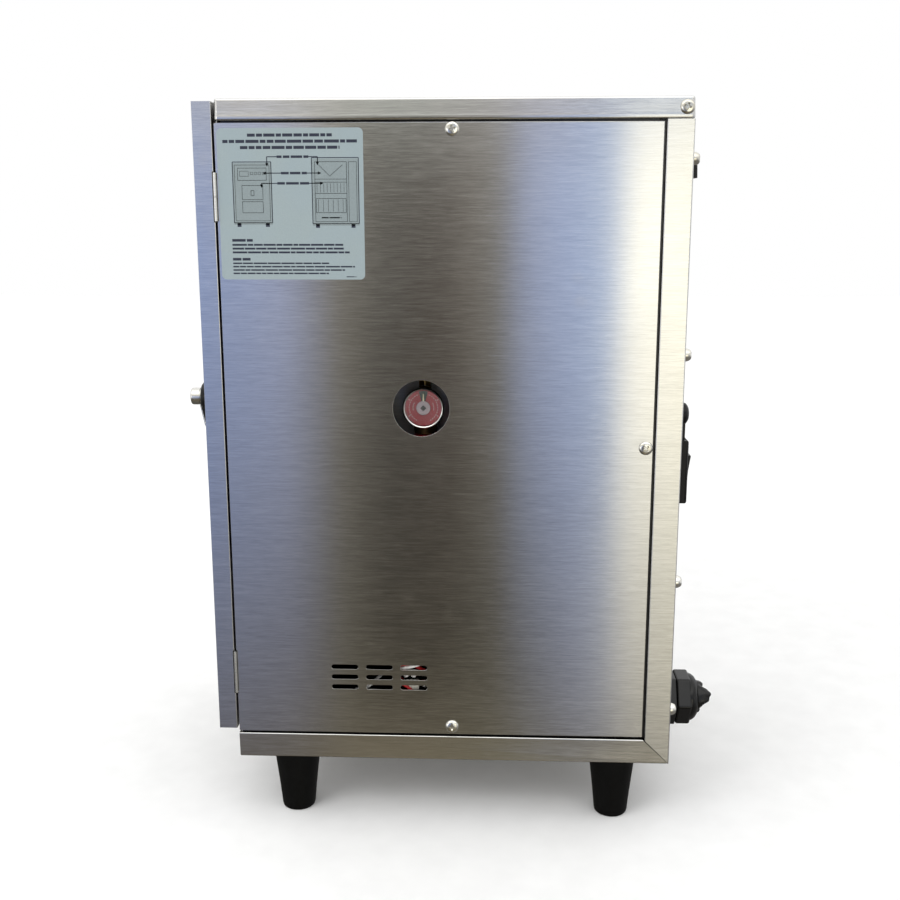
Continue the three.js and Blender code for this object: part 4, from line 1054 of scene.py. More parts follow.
def light_the_room():
    """Even white for matt surfaces; soft window, wall and ceiling bands for polished ones."""
    world = bpy.data.worlds.new("Studio")
    bpy.context.scene.world = world
    world.use_nodes = True
    tree = world.node_tree
    tree.nodes.clear()
    place = tree_node(tree, "ShaderNodeSeparateXYZ", {0: tree_node(tree,
        "ShaderNodeTexCoord").outputs["Generated"]}).outputs
    azimuth = math_node(tree, "MULTIPLY", math_node(tree, "ARCTAN2", place["Y"], place["X"]),
        360.0 / TAU)
    height = math_node(tree, "MULTIPLY", math_node(tree, "ARCSINE", place["Z"]), 360.0 / TAU)

    def blend(low, high, start, end):
        made = tree_node(tree, "ShaderNodeMix", data_type="RGBA")
        factor = tree_node(tree, "ShaderNodeMapRange", {0: height, 1: start, 2: end},
            interpolation_type="SMOOTHSTEP").outputs[0]
        for index, value in ((0, factor), (6, low), (7, high)):
            tree.links.new(value, made.inputs[index])
        return made.outputs[2]

    walls = blend(ring_of_light(tree, azimuth, ROOM_LOW), ring_of_light(tree, azimuth, ROOM_HIGH),
        -30.0, 7.0)
    walls = blend(ring_of_light(tree, azimuth, TABLE), walls, -31.0, -23.0)
    room = blend(walls, ring_of_light(tree, azimuth, CEILING), 5.0, 8.5)
    room = blend(room, ring_of_light(tree, azimuth, SKYLIGHT), 20.0, 40.0)
    mirrored = tree_node(tree, "ShaderNodeBackground", {"Color": room})
    white = tree_node(tree, "ShaderNodeBackground", {"Color": (1.0, 1.0, 1.0, 1.0)})
    diffuse = tree_node(tree, "ShaderNodeBackground", {"Color": (1.0, 1.0, 1.0, 1.0),
        "Strength": 1.15})
    ray = tree_node(tree, "ShaderNodeLightPath").outputs
    light = tree_node(tree, "ShaderNodeMixShader", {0: ray["Is Glossy Ray"], 1: diffuse.outputs[0],
        2: mirrored.outputs[0]})
    seen = tree_node(tree, "ShaderNodeMixShader", {0: ray["Is Camera Ray"], 1: light.outputs[0],
        2: white.outputs[0]})
    tree_node(tree, "ShaderNodeOutputWorld", {"Surface": seen.outputs[0]})
    bpy.context.scene.view_settings.view_transform = "Standard"


def lay_floor():
    size, steps = 8.0, 40
    bm = bmesh.new()
    bmesh.ops.create_grid(bm, x_segments=steps, y_segments=steps, size=size)
    mesh = bpy.data.meshes.new("floor")
    bm.to_mesh(mesh)
    bm.free()
    f = Finish("floor_paint")
    grain = f.group(moulded_group(), Scale=60.0)
    f.bump(grain["Height"], 0.05)
    f.set(colour=f.mix(grain["Mottle"], (0.90, 0.90, 0.895), (0.93, 0.93, 0.925)), roughness=0.85,
        gloss=0.1)
    mesh.materials.append(f.material)
    floor = placed("floor", mesh)
    floor.visible_glossy = False
    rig.stage(floor)


def hang_light(name, place, aim, width, height, power, colour=(1, 1, 1)):
    data = bpy.data.lights.new(name, "AREA")
    data.shape = "RECTANGLE"
    data.size, data.size_y, data.energy, data.color = width, height, power, colour
    lamp = placed(name, data)
    lamp.location = place
    lamp.rotation_euler = (Vector(aim) - Vector(place)).to_track_quat("-Z", "Y").to_euler()
    return lamp


def aim_camera():
    """Stands to the right of the fryer, slightly above its middle, and looks down a little."""
    place, tilt, turn, roll, lens = (1.22056, 0.06086, 0.60279), -11.704, 92.517, -0.071, 43.849
    data = bpy.data.cameras.new("camera")
    data.sensor_width = 36.0
    data.lens = lens
    camera = placed("camera", data)
    camera.matrix_world = (Matrix.Translation(place) @ Matrix.Rotation(math.radians(turn), 4,
        "Z") @ Matrix.Rotation(math.radians(90.0 + tilt), 4,
        "X") @ Matrix.Rotation(math.radians(roll), 4, "Z"))
    bpy.context.scene.camera = camera


def build_stage():
    aim_camera()
    light_the_room()
    lay_floor()
    key = hang_light("key_light", (1.6, -1.4, 1.9), (0.1, -0.1, 0.4), 1.2, 1.0, 14.0)
    key.visible_glossy = False


# ---- cabinet sheets

VENT_Y, VENT_Z = -56.05, 154.2


def build_top_cover():
    """A lid with a flange that rolls over at the top and curls into a hem at the bottom."""
    profile = ((3.0, 714.0), (2.0, 713.9), (1.3, 713.5), (0.75, 712.7), (0.6, 711.8), (0.35, 704.0),
        (0.15, 699.6), (0.1, 699.0), (-0.3, 698.3), (-0.45, 697.4), (-0.3, 696.5), (0.0, 695.6),
        (0.45, 694.9), (0.9, 694.55), (1.4, 694.6), (1.6, 695.0), (1.6, 712.0), (3.0, 712.6))
    corner = 4.0
    rings = []
    for inset, z in profile:
        inset = max(inset, 0.0)
        outline = rounded((COVER_LOW.x + inset, COVER_LOW.y + inset),
            (COVER_HIGH.x - inset, COVER_HIGH.y - inset), max(corner - inset, 0.8), 5)
        rings.append([(x, y, z) for x, y in outline])
    shape = Shape()
    shape.rings(rings)
    shape.bm.normal_update()
    for face in shape.bm.faces:
        if face.normal.z > 0.6 and face.calc_center_median().z > COVER_HIGH.z - 1:
            face.material_index = 1
    shape.piece("cover", ["cover_steel", "cover_deck_steel"], "cover_steel", ["top_cover"], 50)


def build_sheets():
    bend = sheet_settings().bend / MM
    edge = sheet_settings().edge / MM
    tuck = 0.9

    def tucked(p):
        if p.z < BASE_LOW.z + 4 and abs(p.x) > BASE_HIGH.x - 0.8:
            p.x -= math.copysign(tuck, p.x)
        return p

    base = refined("chassis_base", [
        (lambda m, a, b: m.z < BASE_LOW.z + 0.3 and (abs(m.x) > BASE_HIGH.x - 3
                                                     or m.y > BASE_HIGH.y - 0.3
                                                     or m.y < BASE_LOW.y + 0.3), bend, 4),
        (lambda m, a, b: m.z > BASE_HIGH.z - 0.2 and abs(m.x) > BASE_HIGH.x - 0.3, 0.85, 4),
    ], edge, tucked)
    base.piece("base_pan", "strip_steel", "strip_steel", ["chassis_base"])
    back_low, back_high = span_mm("back_panel")
    back = refined("back_panel",
        [(lambda m, a, b: abs(m.x) > back_high.x - 0.3 and m.y > back_high.y - 0.3, bend, 5),
        (lambda m, a, b: abs(m.x) > back_high.x - 0.3 and m.y < back_low.y + 0.3, 0.8, 3)], edge)
    back.piece("rear_panel", "strip_steel", "strip_steel", ["back_panel"])


def slot_outline(y, z, length, height):
    """A slot with round ends, drawn in y and z."""
    return rounded((y - length / 2, z - height / 2), (y + length / 2, z + height / 2),
        height / 2 - 0.01, 6)


def build_side_panels():
    groove = sheet_settings().groove / MM
    edge = sheet_settings().edge / MM
    low = span_mm("side_panel_left")[0]
    floor_line, roof_line = BASE_HIGH.z + groove, COVER_LOW.z - groove
    rear_line = span_mm("back_panel")[0].y - groove

    def trimmed(p):
        p.z = min(max(p.z, floor_line), roof_line)
        p.y = min(p.y, rear_line)
        return p

    def outer_edge(m, a, b):
        return abs(m.x - low.x) < 0.3 and (m.z > roof_line - 0.3 or m.z < floor_line + 0.3
                                           or m.y > rear_line - 0.3)

    def front_bend(m, a, b):
        return abs(m.x - low.x) < 0.3 and m.y < low.y + 0.3

    rules = [(outer_edge, 1.0, 4), (front_bend, 2.8, 6)]
    left = refined("side_panel_left", rules, edge, trimmed)
    left.piece("left_panel", "side_steel", "side_steel", ["side_panel_left"])

    right = refined("side_panel_left", rules, edge, trimmed)
    bmesh.ops.scale(right.bm, vec=(-1, 1, 1), verts=right.bm.verts)
    bmesh.ops.reverse_faces(right.bm, faces=right.bm.faces)
    holes = Shape()
    _, sight_y, sight_z = middle_mm("gauge_case") + Vector((0, 0, 4.6))
    inner, outer = SIDE_FACE - 4, SIDE_FACE + 4
    holes.lathe([(0, inner), (27.2, inner), (27.2, outer), (0, outer)], "x", (0, sight_y, sight_z),
        96)
    for column in (-1, 0, 1):
        for row in (-1, 0, 1):
            holes.prism(slot_outline(VENT_Y + column * 34.8, VENT_Z + row * 10.7, 27, 5), "x",
                inner, outer)
    for node in ("hinge_pin_upper", "hinge_pin_lower"):
        pin_low, pin_high = span_mm(node)
        middle = middle_mm(node)
        holes.box((middle.x - 2.4, middle.y - 2.4, pin_low.z - 1),
            (middle.x + 9, middle.y + 2.4, pin_high.z + 1))
    right = carved(right, holes)

    def hole_edge(e):
        middle = (e.verts[0].co + e.verts[1].co) / 2
        return (abs(middle.x - SIDE_FACE) < 0.05 and e.calc_face_angle(0.0) > 1.0
                and low.y + 20 < middle.y < rear_line - 8
                and floor_line + 8 < middle.z < roof_line - 8)

    rims = [e for e in right.bm.edges if hole_edge(e)]
    bmesh.ops.bevel(right.bm, geom=rims, offset=0.45, segments=3, profile=0.5, affect="EDGES",
        clamp_overlap=True)
    right.piece("right_panel", "side_steel", "side_steel", ["side_panel_right"])
    # Black strips behind the grooves round the side panels: painted shade, a dark stand-in for the shade inside the
    # gaps.
    seals = Shape()
    for sign in (-1, 1):
        x0, x1 = sorted((sign * 182.5, sign * 187.0))
        seals.box((x0, rear_line - 4, floor_line - 1), (x1, rear_line + 7, roof_line + 1), 0.3)
        for z0, z1 in ((roof_line - 4, roof_line + 4), (floor_line - 4, floor_line + 4)):
            seals.box((x0, low.y + 6, z0), (x1, rear_line - 4.2, z1), 0.3)
    seals.piece("panel_seals", "gland_nylon", "black_plastic")


def build_front_frame():
    frame_shape = refined("front_frame", [], sheet_settings().edge / MM)
    frame_shape.piece("door_surround", "inner_steel", "inner_steel", ["front_frame"])


def build_door_shell():
    bend = 1.6

    def front_edge(m, a, b):
        return m.y < DOOR_LOW.y + 0.3 and min(a.y, b.y) < -0.9

    def rear_edge(m, a, b):
        return m.y > DOOR_HIGH.y - 0.3 and abs(m.x) > DOOR_HIGH.x - 0.3

    door = refined("door_panel", [(front_edge, bend, 4), (rear_edge, 0.55, 3)],
        sheet_settings().edge / MM)
    door.piece("door_shell", "door_steel", "door_steel", ["door_panel"], body="front_door")
    inner = refined("door_inner_panel", [], 0.3)
    inner.piece("door_liner", "inner_steel", "inner_steel", ["door_inner_panel"], body="front_door")


def build_feet():
    for node in ("front_left", "front_right", "rear_left", "rear_right"):
        centre, top = middle_mm("foot_" + node), span_mm("foot_" + node)[1].z
        centre.z = 0
        shape = Shape()
        shape.lathe([(0, 0), (12.5, 0), (13.2, 0.3), (13.2, 1.0), (14.6, 1.0), (15.6, 0.3),
            (16.6, 1.2), (17.3, 4.0), (17.6, 8.0), (19.2, 24.0), (21.0, 40.0), (23.0, 57.0),
            (23.75, 61.5), (24.0, 63.0), (24.0, top - 0.8), (23.3, top), (0, top)], "z", centre, 64)
        shape.piece("foot_" + node + "_rubber", "foot_rubber", "foot_rubber", ["foot_" + node])


# ---- screws


def screw_shape(radius, height):
    """A pan-head screw with a cross recess, standing on z = 0."""
    shape = Shape()
    steps, arm, depth = 32, radius * 0.15, height * 0.62
    reach = radius * 0.52

    def cross(angle):
        """How far the cross recess reaches in one direction."""
        big, small = sorted((abs(math.cos(angle)), abs(math.sin(angle))), reverse=True)
        return min(reach / big, arm / max(small, 1e-6))

    outer = [(radius, 0.0), (radius * 1.0, height * 0.28), (radius * 0.94, height * 0.55),
        (radius * 0.80, height * 0.82), (radius * 0.66, height * 0.95)]
    rings = [[(0, 0, 0)]]
    for r, h in outer:
        rings.append([(r * math.cos(TAU * i / steps), r * math.sin(TAU * i / steps), h)
                      for i in range(steps)])
    for factor, h in ((1.0, height), (0.92, height * 0.9), (0.62, height - depth)):
        turns = [TAU * i / steps for i in range(steps)]
        rings.append([(cross(a) * factor * math.cos(a), cross(a) * factor * math.sin(a), h)
                      for a in turns])
    rings.append([(0, 0, height - depth)])
    shape.rings(rings)
    return shape


def build_screws():
    radius = sheet_settings().screw_radius / MM
    aims = []
    for sign in (1, -1):
        face = (SIDE_FACE - 0.1) * sign
        for y, z in ((17.75, 686.5), (17.25, 102.5), (202.45, 392.0)):
            aims.append(((face, y, z), (sign, 0, 0), (0, 0.94, 0.34)))
        aims.append(((sign * (COVER_HIGH.x - 0.5), 228.85, 704.4), (sign, 0, 0.05), (0, 0.8, 0.6)))
    scattered("side_screws", screw_shape(radius, 2.5), aims, "screw_plate", "cabinet", turn=TAU,
        slot="strip_steel", smooth=44)
    rear = []
    for x in (-176, 176):
        for z in (120, 255, 480, 660):
            rear.append(((x, BACK_FACE - 0.15, z), (0, 1, 0), (1, 0, 0)))
    for x in (-60, 60):
        for z in (80, 684):
            rear.append(((x, BACK_FACE - 0.15, z), (0, 1, 0), (1, 0, 0)))
    scattered("rear_screws", screw_shape(6.4, 7.4), rear, "screw_plate", "cabinet", turn=TAU,
        slot="strip_steel", smooth=44)


# ---- label


def build_label():
    rng = random.Random(wire_settings().seed)
    low_y, high_y, low_z, high_z = -198.6, -63.6, 551.0, 688.0
    face = SIDE_FACE + 0.15
    film = Shape()
    film.prism(rounded((low_y, low_z), (high_y, high_z), 4.5, 6), "x", SIDE_FACE - 0.05, face, 0.06,
        1)
    film.piece("care_label", "label_film", "label_film")
    scale = (high_y - low_y) / 147.0

    def at(px, py):
        """Turns the label's own grid (147 wide, 150 high) into the side's y and z."""
        return low_y + px * scale, high_z - py * (high_z - low_z) / 150

    ink = Shape()
    wash = Shape()

    def bar(shape, x0, y0, x1, y1, lift=0.05):
        (ya, za), (yb, zb) = at(x0, y0), at(x1, y1)
        shape.box((face - 0.02, min(ya, yb), min(za, zb)), (face + lift, max(ya, yb), max(za, zb)))

    def row(x0, x1, y, height):
        x = x0
        while x < x1 - 0.5:
            word = rng.uniform(4.5, 15.0)
            end = min(x + word, x1)
            bar(ink, x, y - height / 2, end, y + height / 2)
            x = end + (0.8 if height < 2.0 else 1.2)

    def line(points, width=0.7, shape=ink):
        for (x0, y0), (x1, y1) in zip(points, points[1:]):
            (ya, za), (yb, zb) = at(x0, y0), at(x1, y1)
            run = Vector((0, yb - ya, zb - za))
            if run.length < 1e-6:
                continue
            side = Vector((0, -run.z, run.y)).normalized() * width * scale / 2
            a, b = Vector((0, ya, za)), Vector((0, yb, zb))
            corners = (a + side, a - side, b - side, b + side)
            shape.rings([[(face - 0.02, p.y, p.z) for p in corners],
                [(face + 0.05, p.y, p.z) for p in corners]])

    def frame_box(x0, y0, x1, y1, width=0.8):
        line([(x0, y0), (x1, y0), (x1, y1), (x0, y1), (x0, y0)], width)

    for y, width in ((7, 85), (13, 135), (19, 100)):
        row(73.5 - width / 2, 73.5 + width / 2, y, 3.0)
    row(60, 92, 28, 2.4)
    row(64, 90, 44, 2.4)
    row(60, 92, 54, 2.4)
    for leader in ([(60, 28), (50, 28), (50, 37)], [(92, 28), (101, 28), (101, 36)], [(64, 44),
            (46, 44)], [(90, 44), (104, 44)], [(60, 54), (44, 54), (44, 58)], [(92, 54),
            (106, 54)]):
        line(leader, 0.9)
        (x0, y0), (x1, y1) = leader[-2:]
        along = Vector((x1 - x0, y1 - y0)).normalized() * 3.2
        for turn in (-0.35, 0.35):
            barb = along.copy()
            barb.rotate(Matrix.Rotation(turn, 2))
            line([(x1, y1), (x1 - barb.x, y1 - barb.y)], 0.8)
    # left drawing: the closed cabinet, seen from the front
    bar(wash, 15, 34, 54, 95)
    frame_box(15, 33, 54, 93)
    frame_box(17, 36, 52, 91, 0.4)
    frame_box(20, 39, 49, 51, 0.45)
    for column in range(4):
        frame_box(33 + column * 4, 43, 35.4 + column * 4, 45.4, 0.35)
    frame_box(22, 42, 31, 47, 0.35)
    frame_box(24, 56, 45, 70, 0.45)
    line([(33, 61), (36, 61), (36, 66), (33, 66), (33, 61)], 0.5)
    frame_box(24, 72, 45, 83, 0.45)
    for x in (18, 47):
        bar(ink, x, 93.5, x + 4, 97)
    # right drawing: the same cabinet with the door off
    bar(wash, 95, 30, 142, 96)
    frame_box(95, 29, 142, 94)
    frame_box(98, 33, 130, 92, 0.45)
    frame_box(132, 33, 140, 92, 0.4)
    line([(98, 50), (130, 50)], 0.45)
    line([(98, 53), (130, 53)], 0.45)
    for index in range(9):
        line([(100 + index * 3.4, 54), (100 + index * 3.4, 63)], 0.35)
    line([(98, 64), (130, 64)], 0.45)
    for index in range(6):
        line([(101 + index * 5, 70), (101 + index * 5, 82)], 0.35)
    line([(99, 69), (129, 69), (129, 83), (99, 83), (99, 69)], 0.45)
    line([(102, 36), (113, 47), (126, 36)], 0.45)
    row(104, 124, 88, 1.2)
    for x in (98, 134):
        bar(ink, x, 94.5, x + 4, 98)
    # notes under the drawings
    row(12, 33, 110.5, 2.6)
    for y in (115.0, 118.8, 122.6):
        row(12, 12 + rng.uniform(108, 126), y, 1.9)
    row(12, 30, 129.5, 2.6)
    for y in (133.6, 137.0, 140.4, 143.8):
        row(12, 12 + rng.uniform(96, 126), y, 1.5)
    row(128, 138, 147.2, 0.9)
    wash.piece("label_shading", "label_wash", "label_film")
    ink.piece("label_printing", "label_ink", "label_film")


# ---- suppression set


def build_suppression():
    low, high = span_mm("suppression_cylinder")
    x, y, _ = middle_mm("suppression_cylinder")
    r, base, top = (high.x - low.x) / 2, low.z, high.z
    tank = Shape()
    tank.lathe([(0, base + 1.5), (r * 0.70, base + 1.2), (r * 0.80, base), (r * 0.88, base + 0.6),
        (r * 0.90, base + 3), (r * 0.97, base + 7), (r, base + 13), (r, base + 150),
        (r * 0.985, base + 158), (r * 0.93, base + 168), (r * 0.82, base + 177),
        (r * 0.62, base + 184), (r * 0.42, base + 187.6), (r * 0.40, top - 0.4), (r * 0.36, top),
        (0, top)], "z", (x, y, 0), 72)
    tank.piece("suppression_tank", "cylinder_red", "cylinder_red", ["suppression_cylinder"])
    band = Shape()
    band.lathe([(r + 0.02, 62), (r + 0.25, 62.2), (r + 0.25, 119.8), (r + 0.02, 120)], "z",
        (x, y, 0), 72, loop=True, base=base)
    band.piece("tank_label", "label_film", "label_film")

    low, high = span_mm("suppression_valve")
    valve = Shape()
    valve.lathe([(0, low.z), (10.5, low.z), (11.4, low.z + 0.8), (11.4, low.z + 8),
        (9.4, low.z + 9.4), (9.4, low.z + 15), (11.8, low.z + 16.4), (11.8, low.z + 38),
        (10.6, low.z + 39.6), (6.2, low.z + 41), (6.2, high.z - 0.6), (5.6, high.z), (0, high.z)],
        "z", (x, y, 0), 48)
    valve.prism(hexagon(x, y, 10.9), "z", low.z + 9.6, low.z + 15.6, 0.5, 2)
    mid_z, stem_end = middle_mm("gauge_case").z, span_mm("gauge_case")[0].x
    valve.lathe([(0, x + 9.5), (5.4, x + 9.5), (5.4, stem_end - 3.5), (4.4, stem_end - 2.8),
        (4.4, stem_end - 0.35), (0, stem_end - 0.35)], "x", (0, y, mid_z), 32)
    valve.piece("cylinder_valve", "brass_turned", "brass", ["suppression_valve"])
    build_gauge(y, mid_z)


def build_gauge(y, z):
    """Rolled chrome case, printed dial with green zone, needle, boss and lens."""
    low, high = span_mm("gauge_case")
    r = (high.z - low.z) / 2
    dial_low, dial_high = span_mm("gauge_dial")
    case = Shape()
    case.lathe([(0, low.x), (r * 0.80, low.x), (r * 0.88, low.x + 0.7), (r * 0.90, low.x + 2.2),
        (r * 0.90, high.x - 5.0), (r * 0.97, high.x - 4.2), (r, high.x - 3.1), (r, high.x - 1.6),
        (r * 0.975, high.x - 0.5), (r * 0.93, high.x), (r * 0.885, high.x - 0.45),
        (r * 0.865, high.x - 1.6), (r * 0.862, dial_low.x - 0.4), (0, dial_low.x - 0.4)], "x",
        (0, y, z), 96)
    case.piece("gauge_shell", "bright_plate", "gauge_metal", ["gauge_case"])

    face = dial_high.x
    reach = r * 0.855
    dial = Shape()
    dial.lathe([(0, dial_low.x - 0.35), (reach, dial_low.x - 0.35), (reach, face - 0.05),
        (0, face - 0.05)], "x", (0, y, z), 96, finish=0)

    def sector(a0, a1, r0, r1, finish_index, lift):
        """A thin printed patch between two angles, measured from straight up."""
        steps = max(2, int(abs(a1 - a0) / 3))
        angles = [math.radians(90 - (a0 + (a1 - a0) * i / steps)) for i in range(steps + 1)]
        outline = ([(y + r1 * math.cos(a), z + r1 * math.sin(a)) for a in angles]
                   + [(y + r0 * math.cos(a), z + r0 * math.sin(a)) for a in reversed(angles)])
        dial.prism(outline, "x", face - 0.06, face + lift, finish=finish_index)

    sector(-16, 16, r * 0.30, r * 0.82, 1, 0.02)
    for index in range(30):
        angle = -150 + index * 300 / 29
        if abs(angle) < 24:
            continue
        sector(angle - 2.4, angle + 2.4, r * 0.66, r * 0.70, 2, 0.03)
    for angle in (-120, -60, 60, 120):
        sector(angle - 1.2, angle + 1.2, r * 0.73, r * 0.82, 2, 0.03)
    for side in (-1, 1):
        for index in range(5):
            angle = side * (64 + index * 9)
            sector(angle - 2.2, angle + 2.2, r * 0.47, r * 0.52, 2, 0.03)
    dial.piece("gauge_face", ["dial_red", "dial_green", "dial_white"], "gauge_face", ["gauge_dial"])

    needle_low, needle_high = span_mm("gauge_needle")
    needle = Shape()
    tip = needle_high.z - z
    outline = [(y - 0.35, z + tip), (y + 0.35, z + tip), (y + 1.0, z + 4), (y + 1.5, z - 4.4),
        (y - 1.5, z - 4.4), (y - 1.0, z + 4)]
    needle.prism(outline, "x", needle_low.x + 0.1, needle_low.x + 0.6, 0.1, 1)
    # The pointer's finish glows faintly: painted light.
    needle.piece("gauge_pointer", "needle_cream", "needle_paint", ["gauge_needle"],
        body="gauge_needle")
    boss = Shape()
    boss.lathe([(0, 0.62), (6.3, 0.62), (6.9, 0.8), (7.0, 1.0), (6.6, 1.25), (3.0, 1.38),
        (0, 1.38)], "x", (0, y, z), 48, base=needle_low.x)
    # The boss's grey-pink colour is a painted reflection of the red dial.
    boss.piece("gauge_boss", "boss_plate", "needle_paint", body="gauge_needle")
    diamond = Shape()
    diamond.prism([(y, z + 3.0), (y - 3.0, z), (y, z - 3.0), (y + 3.0, z)], "x",
        needle_low.x + 1.36, needle_low.x + 1.46, 0)
    diamond.piece("gauge_boss_mark", "black_plastic", "gauge_face", body="gauge_needle")
    lens = Shape()
    lens.lathe([(0, -1.55), (r * 0.858, -1.55), (r * 0.858, -0.95), (r * 0.6, -0.72), (0, -0.6)],
        "x", (0, y, z), 72, base=high.x)
    lens.piece("gauge_lens", "lens", "gauge_metal")


# ---- knob


def build_knob():
    low, high = span_mm("load_knob")
    x = (low.x + high.x) / 2
    reach, grip, grip_r, hub_r = 63.0, 14.5, 9.6, 20.0
    front = high.y + 0.3 - reach
    z = high.z - hub_r - 2.0
    neck = front + grip
    knob = Shape()
    knob.lathe([(0, front), (grip_r - 2.2, front), (grip_r - 1.0, front + 0.35),
        (grip_r - 0.3, front + 1.0), (grip_r, front + 2.0), (grip_r, neck - 4.2),
        (grip_r - 0.5, neck - 3.8), (grip_r - 0.5, neck - 3.0), (grip_r, neck - 2.6),
        (grip_r + 0.2, neck + 0.6), (0, neck + 0.6)], "y", (x, 0, z), 72)
    knob.prism([(neck - 4.4, z - 8), (neck + 0.6, z - 32), (neck + 3.2, z - 36.6),
        (neck + 4.8, z - 35.2), (neck + 2.2, z - 31), (neck - 3.0, z - 8)], "x", x - 8, x + 8, 0.45,
        3)
    knob.piece("load_handle", "knob_plate", "knob_metal", ["load_knob"], 34, body="load_chute")
    wing = Shape()
    wing.lathe([(0, neck - 2.4), (grip_r + 1.6, neck - 2.4), (hub_r - 5.6, neck - 1.4),
        (hub_r - 2.8, neck + 1.2), (hub_r - 0.6, neck + 6.5), (hub_r + 0.6, neck + 16),
        (hub_r + 1.4, high.y - 3), (hub_r + 2.0, high.y - 1), (hub_r + 1.6, high.y), (0, high.y)],
        "y", (x, 0, z), 72)
    wing.prism([(neck - 3.2, z - 8), (neck + 2.4, z - 31), (neck + 5.2, z - 35.6), (high.y, z - 44),
        (high.y, z - 8)], "x", x - 7.4, x + 7.4, 0.8, 3)
    wing.piece("handle_wing", "black_plastic", "black_plastic", body="load_chute")


# ---- back of the cabinet


def build_power_switch():
    low, high = span_mm("power_switch_body")

    def face_edge(m, a, b):
        return m.y > high.y - 1.4 and (abs(m.x - low.x) < 0.6 or abs(m.x - high.x) < 0.6
                                       or m.z < low.z + 0.6 or m.z > 396)

    body = refined("power_switch_body", [(face_edge, 2.6, 5)], 0.5)
    body.piece("switch_housing", "black_plastic", "black_plastic", ["power_switch_body"], 50)
    rocker = refined("power_rocker", [], 0.9)
    rocker.piece("switch_rocker", "black_plastic", "black_plastic", ["power_rocker"], 50,
        body="power_rocker")
    r_high, mid_x = span_mm("power_rocker")[1], middle_mm("power_rocker").x
    top = r_high.z
    mark = Shape()
    mark.box((mid_x - 0.5, r_high.y - 3.2, top - 0.25), (mid_x + 0.5, r_high.y - 0.4, top + 0.05))
    mark.piece("rocker_mark_bar", "rocker_mark", "black_plastic", body="power_rocker")


def build_gland():
    body_low, body_high = span_mm("cord_gland_body")
    x, _, z = middle_mm("cord_gland_body")
    r, back = (body_high.x - body_low.x) / 2, body_low.y

    collar = Shape()
    collar.prism(upright_hexagon(x, z, r), "y", back, back + 11.5, 1.2, 4)
    collar.lathe([(0, -8), (14, -8), (14, 0.5), (0, 0.5)], "y", (x, 0, z), 32, base=back)
    collar.piece("gland_collar", "gland_nylon", "black_plastic", ["cord_gland_body"], 40)
    nut = Shape()
    nut.prism(upright_hexagon(x, z, r * 0.985), "y", back + 12.0, back + 27, 2.2, 5)
    nut.lathe([(0, 24), (24.6, 24), (24.6, 27.5), (23.6, 30.0), (21.4, 32.6), (18.6, 34.4),
        (16.8, 35.0), (16.2, 34.4), (0, 34.4)], "y", (x, 0, z), 72, base=back)
    nut.piece("gland_nut", "gland_nylon", "black_plastic", ["cord_gland_nut"], 40)
    seal = Shape()
    steps, inner = 72, 7.2
    lip = back + 38
    rings = []
    for radius, y, wave in ((inner, back + 26, 0), (15.6, back + 26, 0), (16.2, back + 33, 0.2),
            (17.0, back + 35.5, 0.5), (16.2, lip, 1.1), (14.0, lip + 2.0, 1.9),
            (12.2, lip + 1.8, 2.0), (10.0, lip - 1.0, 1.2), (8.2, lip - 5, 0.4),
            (inner, back + 30, 0)):
        ring = []
        for i in range(steps):
            a = TAU * i / steps
            ripple = (math.sin(3 * a + 0.6) + 0.6 * math.sin(7 * a + 1.9)
                      + 0.35 * math.sin(13 * a)) * wave
            tongue = 3.4 * wave * max(0.0, math.cos(a - 0.5)) ** 6
            out = radius + 0.3 * ripple
            ring.append((x + out * math.cos(a), y + 0.7 * ripple + tongue
                         + 2.2 * wave * math.sin(a) * 0.5, z + out * math.sin(a)))
        rings.append(ring)
    seal.rings(rings, loop=True)
    seal.piece("gland_seal", "seal_rubber", "seal_rubber", ["cord_seal"], 60)


def build_hood():
    low, high = span_mm("exhaust_hood")

    def drawn_in(p):
        if p.y > high.y - 0.1:
            p.y -= 2.6 if p.z > high.z - 0.1 else 1.8
        elif p.y > high.y - 1.3:
            p.y -= 2.2
        return p

    hood = refined("exhaust_hood", [], 0.4, drawn_in)
    hood.bm.normal_update()
    for face in hood.bm.faces:
        if abs(face.normal.x) > 0.9 and abs(face.calc_center_median().x) > high.x - 0.5:
            face.material_index = 1
    hood.piece("rear_hood", ["strip_steel", "black_plastic"], "strip_steel", ["exhaust_hood"])
    slat = Shape()
    slat.box((-0.35, -3.0, 0), (0.35, 3.0, high.z - low.z - 3.0), 0.12, 1)
    count = 28
    spots = []
    for i in range(count):
        x = low.x + 6 + (high.x - low.x - 12) * i / (count - 1)
        spots.append(((x, low.y + 3.6, low.z + 1.0), (0, 0, 1), (1, 0, 0)))
    scattered("hood_fins", slat, spots, "inner_steel", "cabinet", slot="inner_steel")


